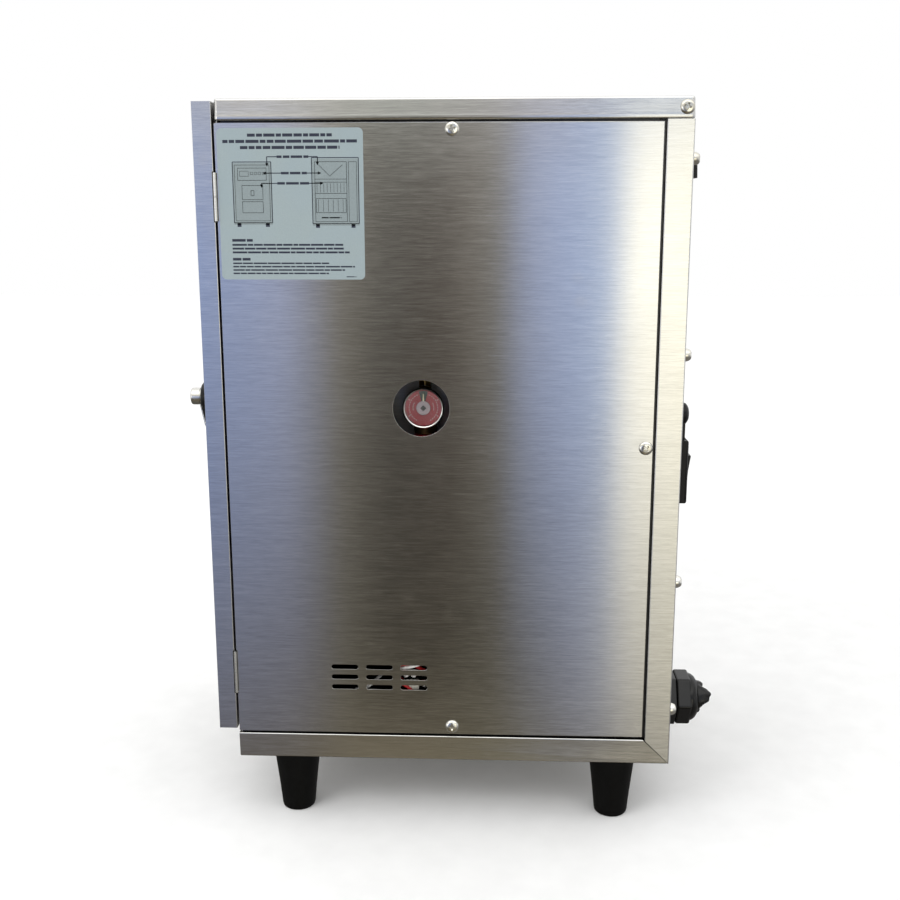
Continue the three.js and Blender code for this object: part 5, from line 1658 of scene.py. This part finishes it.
def build_loom():
    r = wire_settings().loom_wire / MM
    twist = [[(180.5 + 1.5 * math.cos(t), -44 + 1.25 * t, 154.4 + 1.7 * math.sin(t))
              for t in [k * 0.5 + phase for k in range(38)]] for phase in (0.0, math.pi)]
    reds = [[(140, -30, 120), (168, -38, 150), (181, -36, 163.5), (182.5, -31, 166.2),
        (182, -25, 165.4), (179, -16, 161), (172, -4, 152), (166, 20, 134)], [(140, -30, 150),
        (172, -37, 149), (182, -35, 146), (182.5, -30, 143), (182, -25, 139), (178, -16, 132),
        (170, 20, 128)]]
    whites = [[(150, -30, 140), (177, -37, 158), (183, -31, 162.4), (183.6, -24, 164),
        (183, -15, 166.8), (180, -4, 170), (168, 20, 176)], [(160, -84, 128), (178, -73, 138),
        (182, -67, 142.6), (179, -62, 146), (160, -54, 148)], [(176, -12, 140), (178, -6, 146),
        (174, 10, 150), (168, 30, 136)], twist[0], twist[1]]
    for name, lines, finish_name in (("loom_red", reds, "red_insulation"),
            ("loom_white", whites, "white_insulation")):
        wired(name, [flowing(line, 9 if len(line) < 20 else 3) for line in lines], r, finish_name,
            "cabinet", 10, slot="key_rubber")
    block = Shape()
    block.box((176, -27, 139), (182.4, -16.5, 147.5), 0.9, 3)
    for index in range(5):
        y = 24 + index * 11
        block.box((163, y, 120), (176, y + 9.6, 138), 1.0, 2)
        block.lathe([(0, 176), (2.6, 176), (2.6, 177.0), (2.2, 177.5), (0, 177.5)], "x",
            (0, y + 4.8, 132), 20)
    block.piece("terminal_block", "terminal_plastic", "key_rubber")


# ---- plain folded and turned parts

TRIMMED = (  # node, piece, finish, body, slot, edge radius, smoothing angle
    ("cavity_liner", "fry_chamber", "inner_steel", "cabinet", "inner_steel", 0.35, 38),
    ("divider_shelf", "chamber_shelf", "inner_steel", "cabinet", "inner_steel", 1.2, 38),
    ("grease_filter", "baffle_filter", "filter_steel", "cabinet", "filter_steel", 0.5, 38),
    ("filter_latch", "filter_catch", "inner_steel", "filter_latch", "inner_steel", 0.9, 50),
    ("fire_damper_frame", "damper_frame", "zinc_sheet", "cabinet", "galvanised", 0.35, 38),
    ("blower_housing", "blower_drum", "zinc_sheet", "cabinet", "galvanised", 0.45, 30),
    ("door_gasket", "door_seal", "gasket_grey", "front_door", "gasket_grey", 1.1, 60),
    *((f"hinge_{node}_{at}", f"hinge_{piece}_{at}", finish_name, body, slot, edge, 38)
      for node, piece, finish_name, body, slot, edge in (
          ("frame_leaf", "leaf", "side_steel", "cabinet", "galvanised", 0.12),
          ("pin", "rod", "motor_can", "cabinet", "inner_steel", 0.15),
          ("door_leaf", "swing", "side_steel", "front_door", "galvanised", 0.12))
      for at in ("upper", "lower")),
    ("load_chute_face", "chute_plate", "door_steel", "load_chute", "door_steel", 0.8, 38),
    ("load_chute_bucket", "chute_bucket", "inner_steel", "load_chute", "inner_steel", 0.35, 30),
    ("dispense_flap", "outlet_flap", "door_steel", "dispense_flap", "door_steel", 0.8, 38),
    ("door_lock", "door_lock_barrel", "screw_plate", "door_lock", "gauge_metal", 0.7, 40),
    ("drain_valve_body", "drain_valve", "brass_turned", "cabinet", "brass", 0.9, 40),
    ("drain_valve_handle", "drain_lever", "handle_vinyl", "drain_handle", "handle_red", 1.3, 50),
    ("control_panel", "control_overlay", "control_film", "front_door", "control_film", 0.3, 38),
    ("display_window", "display_lens", "display_glass", "front_door", "display_glass", 0.4, 38),
    *((f"air_filter_{side}", f"air_filter_frame_{side}", "wheel_aluminium", "cabinet",
       "filter_aluminium", 0.8, 38) for side in ("left", "right")),
)


def trim(*nodes):
    """Copies of CAD nodes with softened edges and their own finish."""
    for node, piece, finish_name, body, slot, edge, smooth in TRIMMED:
        if node in nodes:
            refined(node, [], edge).piece(piece, finish_name, slot, [node], smooth, body=body)


# ---- frying compartment


def build_chamber():
    trim("cavity_liner", "divider_shelf")
    low, high = span_mm("fry_pot")
    pot = refined("fry_pot", [], 0.5)
    rim = rounded((low.x + 1, low.y + 1), (high.x - 1, high.y - 1), 3, 5)
    pot.tube([(x, y, high.z + 0.3) for x, y in rim], 1.3, 10, loop=True)
    pot.piece("oil_pot", "pot_steel", "inner_steel", ["fry_pot"])


def build_element():
    low, high = span_mm("heating_element")
    r = 4.0
    left, right, front, back = low.x + r, high.x - r, low.y + r, high.y - r
    runs = 6
    pitch = (right - left) / (runs - 1)
    points = [(left, back, high.z)]
    for run in range(runs):
        x = left + run * pitch
        ends = (back, front) if run % 2 == 0 else (front, back)
        points += [(x, ends[0], low.z + r), (x, ends[1], low.z + r)]
    points.append((right, back, high.z))
    path = bend_path(points, pitch / 2, 10)
    wired("fry_element", [path], r, "element_steel", "cabinet", 20, "element_steel",
        ["heating_element"])
    ends = Shape()
    for x in (left, right):
        ends.lathe([(0, -10), (5.4, -10), (5.8, -9.2), (5.8, -4), (5.2, -3.4), (0, -3.4)], "z",
            (x, back, 0), 6, base=high.z)
    clamp_z = low.z + r
    for x in (left + pitch * 0.5, right - pitch * 0.5):
        ends.box((x - pitch * 0.62, (front + back) / 2 - 5, clamp_z + r),
            (x + pitch * 0.62, (front + back) / 2 + 5, clamp_z + r + 1.2), 0.4)
    ends.piece("element_clamps", "inner_steel", "inner_steel")


def build_basket():
    low, high = span_mm("fry_basket")
    shaft_low, shaft_high = span_mm("basket_shaft")
    _, shaft_y, shaft_z = middle_mm("basket_shaft")
    wire = wire_settings().basket_wire / MM
    pitch = wire_settings().basket_pitch / MM
    x0, x1 = low.x + 1.5 + wire, high.x - 1.5 - wire
    y0, y1 = shaft_y + 14.0 + wire, high.y - wire
    z0, z1 = low.z + wire, low.z + 58.0 - wire
    corner = 7.0
    lines, loops = [], []
    for i in range(1, int((x1 - x0) / pitch) + 1):
        x = x0 + i * (x1 - x0) / (int((x1 - x0) / pitch) + 1)
        lines.append(bend_path([(x, y0, z1), (x, y0, z0), (x, y1, z0), (x, y1, z1)], corner, 3))
    for i in range(1, int((y1 - y0) / pitch) + 1):
        y = y0 + i * (y1 - y0) / (int((y1 - y0) / pitch) + 1)
        lines.append(bend_path([(x0, y, z1), (x0, y, z0), (x1, y, z0), (x1, y, z1)], corner, 3))
    for i in range(1, int((z1 - z0) / pitch) + 1):
        z = z0 + i * (z1 - z0) / (int((z1 - z0) / pitch) + 1)
        loops.append([(x, y, z) for x, y in rounded((x0 + wire, y0 + wire), (x1 - wire, y1 - wire),
            corner, 3)])
    wired("basket_mesh", lines, wire, "wire_plate", "basket", 6, "basket_wire", ["fry_basket"],
        loops)
    rim = Shape()
    for z, r in ((z1, 2.2), (z0 + 8, 1.5)):
        rim.tube([(x, y, z) for x, y in rounded((x0, y0), (x1, y1), corner, 5)], r, 12, True)
    ear = [(shaft_y - 7, shaft_z - 7), (shaft_y + 7, shaft_z - 7), (y0 + 20, z1 - 20),
        (y0 + 20, z1), (shaft_y + 7, shaft_z + 7), (shaft_y - 7, shaft_z + 7)]
    for x in (x0, x1):
        rim.prism(ear, "x", x - 1.2, x + 1.2, 0.4, 2)
        rim.lathe([(5.5, -4), (9.0, -4), (9.6, -3.4), (9.6, 3.4), (9.0, 4), (5.5, 4)], "x",
            (0, shaft_y, shaft_z), 32, loop=True, base=x)
        rim.lathe([(0, 9.4), (2.2, 9.4), (2.6, 9.8), (2.6, 12.0), (0, 12.0)], "z",
            (x, shaft_y, shaft_z), 6)
    rim.piece("basket_rim", "wire_plate", "basket_wire", body="basket")
    shaft = Shape()
    r = (shaft_high.z - shaft_low.z) / 2
    shaft.lathe([(0, shaft_low.x), (r - 0.8, shaft_low.x), (r, shaft_low.x + 0.8),
        (r, shaft_high.x - 0.6), (r - 0.6, shaft_high.x), (0, shaft_high.x)], "x",
        (0, shaft_y, shaft_z), 40)
    shaft.piece("tipping_shaft", "bright_plate", "basket_wire", ["basket_shaft"], body="basket")


def build_basket_motor():
    low, high = span_mm("basket_motor")
    _, y, z = middle_mm("basket_motor")
    motor = Shape()
    motor.prism(rounded((low.y, low.z), (high.y, high.z), 5, 5), "x", low.x, low.x + 7.8, 0.8, 2)
    profile = [(0, low.x + 6), (28, low.x + 6), (28, low.x + 24), (27, low.x + 25)]
    for i in range(7):
        a = low.x + 26 + i * 4.2
        profile += [(25.0, a), (25.0, a + 1.6), (26.6, a + 1.8), (26.6, a + 3.8), (25.0, a + 4.0)]
    profile += [(24.5, high.x - 1.6), (22.6, high.x), (0, high.x)]
    motor.lathe(profile, "x", (0, y, z), 64)
    for sy in (-1, 1):
        for sz in (-1, 1):
            motor.lathe([(0, 7), (3.2, 7), (3.2, 10), (2.6, 10.6), (0, 10.6)], "x",
                (0, y + sy * 27.5, z + sz * 27.5), 6, base=low.x)
    motor.piece("tipping_motor", "motor_can", "galvanised", ["basket_motor"], 34)


def build_drain():
    trim("drain_valve_body", "drain_valve_handle")
    low, high = span_mm("drain_valve_body")
    x, z = (low.x + high.x) / 2, high.z - 17
    nuts = Shape()
    for y0, y1, r in ((high.y - 20, high.y - 12, 16.0), (high.y - 8, high.y - 3, 14.5)):
        nuts.prism(upright_hexagon(x, z, r, 0.3), "y", y0, y1, 0.8, 3)
    nuts.piece("drain_nuts", "brass_turned", "brass")
    handle_low = span_mm("drain_valve_handle")[0]
    hub = Shape()
    hub_x, hub_z = handle_low.x + 8, middle_mm("drain_valve_handle").z
    hub.prism(upright_hexagon(hub_x, hub_z, 5.2), "y", handle_low.y - 3.2,
        handle_low.y + 0.2, 0.6, 2)
    hub.piece("drain_lever_nut", "screw_plate", "gauge_metal", body="drain_handle")


# ---- filters, damper and blower


def build_filters():
    trim("grease_filter", "filter_latch", "air_filter_left", "air_filter_right")
    for side in ("left", "right"):
        low, high = span_mm("air_filter_" + side)
        media = Shape()
        x0, x1, y0, y1 = low.x + 9.3, high.x - 9.3, low.y + 1.2, low.y + 4.9
        folds = 24
        zigzag = [(x0 + (x1 - x0) * i / folds, y0 if i % 2 else y1 - 0.9) for i in range(folds + 1)]
        media.prism(zigzag + [(x1, y1), (x0, y1)], "z", low.z + 9.3, high.z - 9.3)
        media.piece("air_filter_media_" + side, "filter_mesh", "filter_aluminium", smooth=20)
        pull = Shape()
        x, z = (low.x + high.x) / 2, high.z - 4.5
        pull.tube(bend_path([(x - 14, low.y + 1, z), (x - 14, low.y - 4.6, z),
            (x + 14, low.y - 4.6, z), (x + 14, low.y + 1, z)], 3.5), 1.2, 10)
        pull.piece("air_filter_pull_" + side, "screw_plate", "filter_steel")


def build_damper():
    trim("fire_damper_frame")
    blade = refined("fire_damper_blade", [], 0.3)
    low, high = span_mm("fire_damper_blade")
    blade.piece("damper_flap", "zinc_sheet", "galvanised", ["fire_damper_blade"],
        body="damper_blade")
    link = Shape()
    x, y, z = (low.x + high.x) / 2, low.y - 0.6, low.z + 12
    link.prism(rounded((z - 9, x - 5), (z + 9, x + 5), 2.5, 4), "y", y - 1.0, y, 0.25, 1)
    for step in (-5.5, 5.5):
        link.lathe([(0, -2.0), (1.9, -2.0), (2.2, -1.7), (2.2, -0.8), (0, -0.8)], "y",
            (x, 0, z + step), 16, base=y)
    link.piece("damper_link", "fusible_link", "galvanised", body="damper_blade")


def build_blower():
    trim("blower_housing")
    low, high = span_mm("blower_wheel")
    x, _, z = middle_mm("blower_wheel")
    r = (high.x - low.x) / 2
    hub_back = high.y
    wheel_back = low.y + 40
    wheel = Shape()
    wheel.lathe([(5, -2), (r * 0.55, -1.6), (r - 0.6, -2), (r, -1.6), (r, -0.4), (r - 0.6, 0),
        (5, 0)], "y", (x, 0, z), 72, loop=True, base=wheel_back)
    wheel.lathe([(r - 13, 0.2), (r - 12, 0), (r - 0.6, 0), (r, 0.6), (r, 2.4), (r - 0.8, 3),
        (r - 12, 3), (r - 13, 2.6)], "y", (x, 0, z), 72, loop=True, base=low.y)
    wheel.lathe([(0, wheel_back - 16), (7.0, wheel_back - 16), (7.6, wheel_back - 15.2),
        (7.6, wheel_back), (5.0, wheel_back + 0.4), (5.0, hub_back - 0.5), (4.5, hub_back),
        (0, hub_back)], "y", (x, 0, z), 40)
    wheel.piece("blower_wheel_plates", "wheel_aluminium", "filter_aluminium", ["blower_wheel"],
        body="blower_wheel")
    blade = Shape()
    outer = [(r - 12.2 + 11.4 * t, 4.6 * t * t - 1.0) for t in (0, 0.25, 0.5, 0.75, 1.0)]
    outline = outer + [(a + 0.25, b - 0.7) for a, b in reversed(outer)]
    rings = [[Vector((a, b, h)) for a, b in outline] for h in (1.8, wheel_back - low.y - 1.2)]
    blade.rings(rings)
    blades = 36
    spots = []
    for i in range(blades):
        a = TAU * i / blades
        spots.append(((x, low.y, z), (0, 1, 0), (math.cos(a), 0, math.sin(a))))
    scattered("blower_wheel_blades", blade, spots, "wheel_aluminium", "blower_wheel",
        slot="filter_aluminium")
    low, high = span_mm("blower_motor")
    mid_x, _, mid_z = middle_mm("blower_motor")
    motor = Shape()
    motor.prism(rounded((mid_z - 44, mid_x - 44), (mid_z + 44, mid_x + 44), 6, 5), "y", low.y,
        low.y + 4.8, 0.7, 2)
    profile = [(0, low.y + 4), (38, low.y + 4), (38, low.y + 9)]
    for i in range(8):
        a = low.y + 10 + i * 4.6
        profile += [(36.2, a), (36.2, a + 1.8), (38, a + 2.2), (38, a + 4.2)]
    profile += [(36.5, high.y - 2.6), (32, high.y - 0.4), (9, high.y), (0, high.y)]
    motor.lathe(profile, "y", (mid_x, 0, mid_z), 72)
    motor.piece("blower_motor_can", "motor_can", "galvanised", ["blower_motor"], 34)


def build_pipe():
    low, high = span_mm("suppression_pipe")
    y, r = (low.y + high.y) / 2, (high.y - low.y) / 2
    x0, x1, top = low.x, middle_mm("suppression_cylinder").x, high.z - r
    path = bend_path([(x1, y, low.z), (x1, y, top), (x0, y, top)], 26, 12)
    wired("discharge_pipe", [path], r, "zinc_sheet", "cabinet", 20, "galvanised",
        ["suppression_pipe"])
    nuts = Shape()
    nuts.prism(hexagon(x1, y, 6.8), "z", low.z + 0.6, low.z + 12, 0.7, 3)
    nuts.piece("flare_nut", "brass_turned", "brass")


# ---- door front


def build_door_fittings():
    trim("door_gasket", "hinge_frame_leaf_upper", "hinge_frame_leaf_lower", "hinge_pin_upper",
        "hinge_pin_lower", "hinge_door_leaf_upper", "hinge_door_leaf_lower", "door_lock")
    low, high = span_mm("door_lock")
    ring = Shape()
    x = (low.x + high.x) / 2
    z = low.z + 11
    ring.lathe([(8.2, 0.5), (9.0, -0.5), (10.4, -0.5), (11.3, 0.4), (11.3, 1.2), (8.2, 1.2)], "y",
        (x, 0, z), 48, loop=True, base=low.y)
    ring.piece("door_lock_ring", "bright_plate", "gauge_metal", body="door_lock")


def build_chute():
    trim("load_chute_face", "load_chute_bucket", "dispense_flap")
    low, high = span_mm("load_chute_face")
    trim_shape = Shape()
    path = [(low.x + 4, low.y - 0.1, low.z + 4), (high.x - 4, low.y - 0.1, low.z + 4),
        (high.x - 4, low.y - 0.1, high.z - 4), (low.x + 4, low.y - 0.1, high.z - 4)]
    corners = [Vector(p) for p in path]
    outline = []
    for p, (sx, sz) in zip(corners, ((-1, -1), (1, -1), (1, 1), (-1, 1))):
        start = math.degrees(math.atan2(sz, sx)) - 45
        outline += [(p.x - sx * 4 + 4 * math.cos(math.radians(start + 15 * i)), p.y,
                     p.z - sz * 4 + 4 * math.sin(math.radians(start + 15 * i)))
                    for i in range(7)]
    trim_shape.tube(outline, 1.0, 10, loop=True)
    trim_shape.piece("chute_bead", "door_steel", "door_steel", body="load_chute")
    low, high = span_mm("dispense_flap")
    bead = Shape()
    for z in (low.z + 22, low.z + 72):
        bead.tube([(low.x + 10, high.y - 2.55, z), (high.x - 10, high.y - 2.55, z)], 0.9, 10)
    bead.piece("flap_beads", "door_steel", "door_steel", body="dispense_flap")


SEGMENTS = {"1": "bc", "7": "abc", "5": "afgcd", "0": "abcdef", "3": "abgcd"}


def digit_bars(shape, char, x, z, width, height, y, thick):
    """Seven-segment digit, each lit segment a small bevelled bar."""
    h, w = height / 2, width
    places = {"a": (x, z + height, 1), "g": (x, z + h, 1), "d": (x, z, 1), "f": (x, z + h, 0),
        "b": (x + w, z + h, 0), "e": (x, z, 0), "c": (x + w, z, 0)}
    for key in SEGMENTS[char]:
        px, pz, flat = places[key]
        if flat:
            box = ((px + thick * 0.7, y, pz - thick / 2),
                (px + w - thick * 0.7, y + 0.3, pz + thick / 2))
        else:
            box = ((px - thick / 2, y, pz + thick * 0.7),
                (px + thick / 2, y + 0.3, pz + h - thick * 0.7))
        shape.box(*box, 0.25, 1)


def build_controls():
    trim("control_panel", "display_window")
    low, high = span_mm("control_panel")
    face = low.y
    ink = Shape()
    for x0, x1, z0, z1 in ((low.x + 5, high.x - 5, low.z + 5, low.z + 5.5),
            (low.x + 5, high.x - 5, high.z - 5.5, high.z - 5),
            (low.x + 5, low.x + 5.5, low.z + 5, high.z - 5),
            (high.x - 5.5, high.x - 5, low.z + 5, high.z - 5)):
        ink.box((x0, face - 0.06, z0), (x1, face + 0.02, z1))
    for index in range(4):
        x, _, z = middle_mm(f"key_{index + 1}")
        ink.lathe([(10.6, -0.06), (11.2, -0.06), (11.2, 0.02), (10.6, 0.02)], "y", (x, 0, z), 48,
            loop=True, base=face)
        ink.box((x - 6, face - 0.06, z - 17.4), (x + 6, face + 0.02, z - 16.4))
    ink.piece("control_printing", "control_ink", "control_film", body="front_door")
    accent = Shape()
    accent.box((low.x + 12, face - 0.06, low.z + 14), (high.x - 12, face + 0.02, low.z + 17))
    for index, height in enumerate((2, 4, 6, 8, 10)):
        x = low.x + 22 + index * 5
        accent.box((x, face - 0.06, low.z + 22), (x + 3, face + 0.02, low.z + 22 + height))
    accent.piece("control_stripe", "control_accent", "control_film", body="front_door")
    low, high = span_mm("display_window")
    lit = Shape()
    for index, char in enumerate("1750"):
        digit_bars(lit, char, low.x + 12 + index * 18, low.z + 9, 9.5, 20, low.y - 0.14, 2.0)
    lit.piece("display_digits", "display_glow", "display_glass", body="front_door")
    for index in range(4):
        node = f"key_{index + 1}"
        low, high = span_mm(node)
        (x, _, z), r = middle_mm(node), (high.x - low.x) / 2
        key = Shape()
        key.lathe([(0, high.y), (r, high.y), (r, low.y + 1.4), (r - 0.4, low.y + 0.6),
            (r - 1.4, low.y + 0.05), (r - 2.4, low.y), (r - 3.4, low.y + 0.45),
            (r - 6, low.y + 0.8), (0, low.y + 0.9)], "y", (x, 0, z), 56)
        key.piece(node + "_cap", "key_rubber", "key_rubber", [node], 50, body=node)
        mark = Shape()
        y = low.y + 0.86
        size = 2.6
        shapes = {0: [(z + size, x), (z - size * 0.7, x + size), (z - size * 0.7, x - size)],
            1: [(z - size, x), (z + size * 0.7, x - size), (z + size * 0.7, x + size)],
            2: [(z - size, x - size * 0.8), (z - size, x - size * 0.1), (z, x + size),
            (z + size, x - size * 0.1), (z + size, x - size * 0.8)],
            3: [(z - size * 0.8, x - size * 0.8), (z - size * 0.8, x + size * 0.8),
            (z + size * 0.8, x + size * 0.8), (z + size * 0.8, x - size * 0.8)]}
        mark.prism(shapes[index], "y", y - 0.16, y + 0.3)
        mark.piece("key_%d_mark" % (index + 1), "control_ink", "key_rubber", body=node)


# ---- operators


def done(*steps):
    """Runs the steps in order; one that can't finish raises."""
    for step in steps:
        step()
    return {"FINISHED"}


class FRYER_OT_stage(bpy.types.Operator):
    """Camera, floor and soft room light"""
    bl_idname = "fryer.stage"
    bl_label = "Stage"

    def execute(self, context):
        return done(build_stage)


class FRYER_OT_cover(bpy.types.Operator):
    """Lid with a rolled flange and a curled hem"""
    bl_idname = "fryer.cover"
    bl_label = "Top Cover"

    def execute(self, context):
        return done(build_top_cover)


class FRYER_OT_sheets(bpy.types.Operator):
    """Base pan, rear panel, recessed side panels and door surround"""
    bl_idname = "fryer.sheets"
    bl_label = "Body Sheets"

    def execute(self, context):
        return done(build_sheets, build_side_panels, build_front_frame)


class FRYER_OT_feet(bpy.types.Operator):
    """Four tapered rubber feet"""
    bl_idname = "fryer.feet"
    bl_label = "Feet"

    def execute(self, context):
        return done(build_feet)


class FRYER_OT_door_shell(bpy.types.Operator):
    """Outer tray and inner skin of the door"""
    bl_idname = "fryer.door_shell"
    bl_label = "Door Shell"

    def execute(self, context):
        return done(build_door_shell)


class FRYER_OT_screws(bpy.types.Operator):
    """Pan-head screws of the side panels, cover and rear panel"""
    bl_idname = "fryer.screws"
    bl_label = "Screws"

    def execute(self, context):
        return done(build_screws)


class FRYER_OT_label(bpy.types.Operator):
    """Rounded sticker with small drawings and bars in place of words"""
    bl_idname = "fryer.label"
    bl_label = "Care Label"

    def execute(self, context):
        return done(build_label)


class FRYER_OT_suppression(bpy.types.Operator):
    """Cylinder, valve and gauge"""
    bl_idname = "fryer.suppression"
    bl_label = "Suppression Set"

    def execute(self, context):
        return done(build_suppression)


class FRYER_OT_handle(bpy.types.Operator):
    """Knob with a tapered wing on the loading chute"""
    bl_idname = "fryer.handle"
    bl_label = "Loading Handle"

    def execute(self, context):
        return done(build_knob)


class FRYER_OT_power_switch(bpy.types.Operator):
    """Moulded switch housing with its rocker and the mark on the rocker"""
    bl_idname = "fryer.power_switch"
    bl_label = "Power Switch"

    def execute(self, context):
        return done(build_power_switch)


class FRYER_OT_gland(bpy.types.Operator):
    """Hexagonal collar, domed nut and torn seal"""
    bl_idname = "fryer.gland"
    bl_label = "Cord Gland"

    def execute(self, context):
        return done(build_gland)


class FRYER_OT_hood(bpy.types.Operator):
    """Louvre over the exhaust slot with its fins"""
    bl_idname = "fryer.hood"
    bl_label = "Rear Hood"

    def execute(self, context):
        return done(build_hood)


class FRYER_OT_loom(bpy.types.Operator):
    """Wires and terminal block behind the vents"""
    bl_idname = "fryer.loom"
    bl_label = "Wiring"

    def execute(self, context):
        return done(build_loom)


class FRYER_OT_chamber(bpy.types.Operator):
    """Liner, divider shelf, oil pot and bent tube element"""
    bl_idname = "fryer.chamber"
    bl_label = "Frying Chamber"

    def execute(self, context):
        return done(build_chamber, build_element)


class FRYER_OT_basket(bpy.types.Operator):
    """Woven wire basket with its rim, tipping shaft and gear motor"""
    bl_idname = "fryer.basket"
    bl_label = "Fry Basket"

    def execute(self, context):
        return done(build_basket, build_basket_motor)


class FRYER_OT_drain(bpy.types.Operator):
    """Brass drain valve and its red lever"""
    bl_idname = "fryer.drain"
    bl_label = "Oil Drain"

    def execute(self, context):
        return done(build_drain)


class FRYER_OT_filters(bpy.types.Operator):
    """Baffle filter, air filters and latch, and the fire damper"""
    bl_idname = "fryer.filters"
    bl_label = "Filters and Damper"

    def execute(self, context):
        return done(build_filters, build_damper)


class FRYER_OT_blower(bpy.types.Operator):
    """Drum, bladed wheel and motor"""
    bl_idname = "fryer.blower"
    bl_label = "Exhaust Blower"

    def execute(self, context):
        return done(build_blower)


class FRYER_OT_pipe(bpy.types.Operator):
    """Suppression pipe with its flare nut"""
    bl_idname = "fryer.pipe"
    bl_label = "Discharge Pipe"

    def execute(self, context):
        return done(build_pipe)


class FRYER_OT_door_fittings(bpy.types.Operator):
    """Gasket, hinges and lock"""
    bl_idname = "fryer.door_fittings"
    bl_label = "Door Fittings"

    def execute(self, context):
        return done(build_door_fittings)


class FRYER_OT_chute(bpy.types.Operator):
    """Loading chute with its bucket, and the dispensing flap"""
    bl_idname = "fryer.chute"
    bl_label = "Chute and Flap"

    def execute(self, context):
        return done(build_chute)


class FRYER_OT_controls(bpy.types.Operator):
    """Overlay, display and four keys"""
    bl_idname = "fryer.controls"
    bl_label = "Controls"

    def execute(self, context):
        return done(build_controls)


OPERATORS = [cls for name, cls in globals().items() if name.startswith("FRYER_OT_")]


class FRYER_PT_panel(bpy.types.Panel):
    """Lists the pieces in the order in which they are built"""

    bl_idname = "FRYER_PT_panel"
    bl_label = "Countertop Fryer"
    bl_space_type = "VIEW_3D"
    bl_region_type = "UI"
    bl_category = "Fryer"

    def draw(self, context):
        column = self.layout.column(align=True)
        for group in ("fryer_sheet", "fryer_finish", "fryer_wire"):
            settings = getattr(context.scene, group)
            for key in settings.__annotations__:
                column.prop(settings, key)
        for operator in OPERATORS:
            column.operator(operator.bl_idname)


SETTINGS = {"fryer_sheet": FryerSheetSettings, "fryer_finish": FryerFinishSettings,
    "fryer_wire": FryerWireSettings}


def register():
    for cls in (*SETTINGS.values(), *OPERATORS, FRYER_PT_panel):
        bpy.utils.register_class(cls)
    for key, cls in SETTINGS.items():
        setattr(bpy.types.Scene, key, bpy.props.PointerProperty(type=cls))


def unregister():
    for key in SETTINGS:
        delattr(bpy.types.Scene, key)
    for cls in reversed((*SETTINGS.values(), *OPERATORS, FRYER_PT_panel)):
        bpy.utils.unregister_class(cls)


def main():
    register()
    for operator in OPERATORS:
        group, name = operator.bl_idname.split(".")
        getattr(getattr(bpy.ops, group), name)()
    with open("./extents.json", "w", encoding="utf-8") as sizes:
        json.dump({"cad": [list(corner) for corner in CAD_BOX],
                   "visual": [list(corner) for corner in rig.bounds()]}, sizes)


if __name__ == "__main__":
    main()
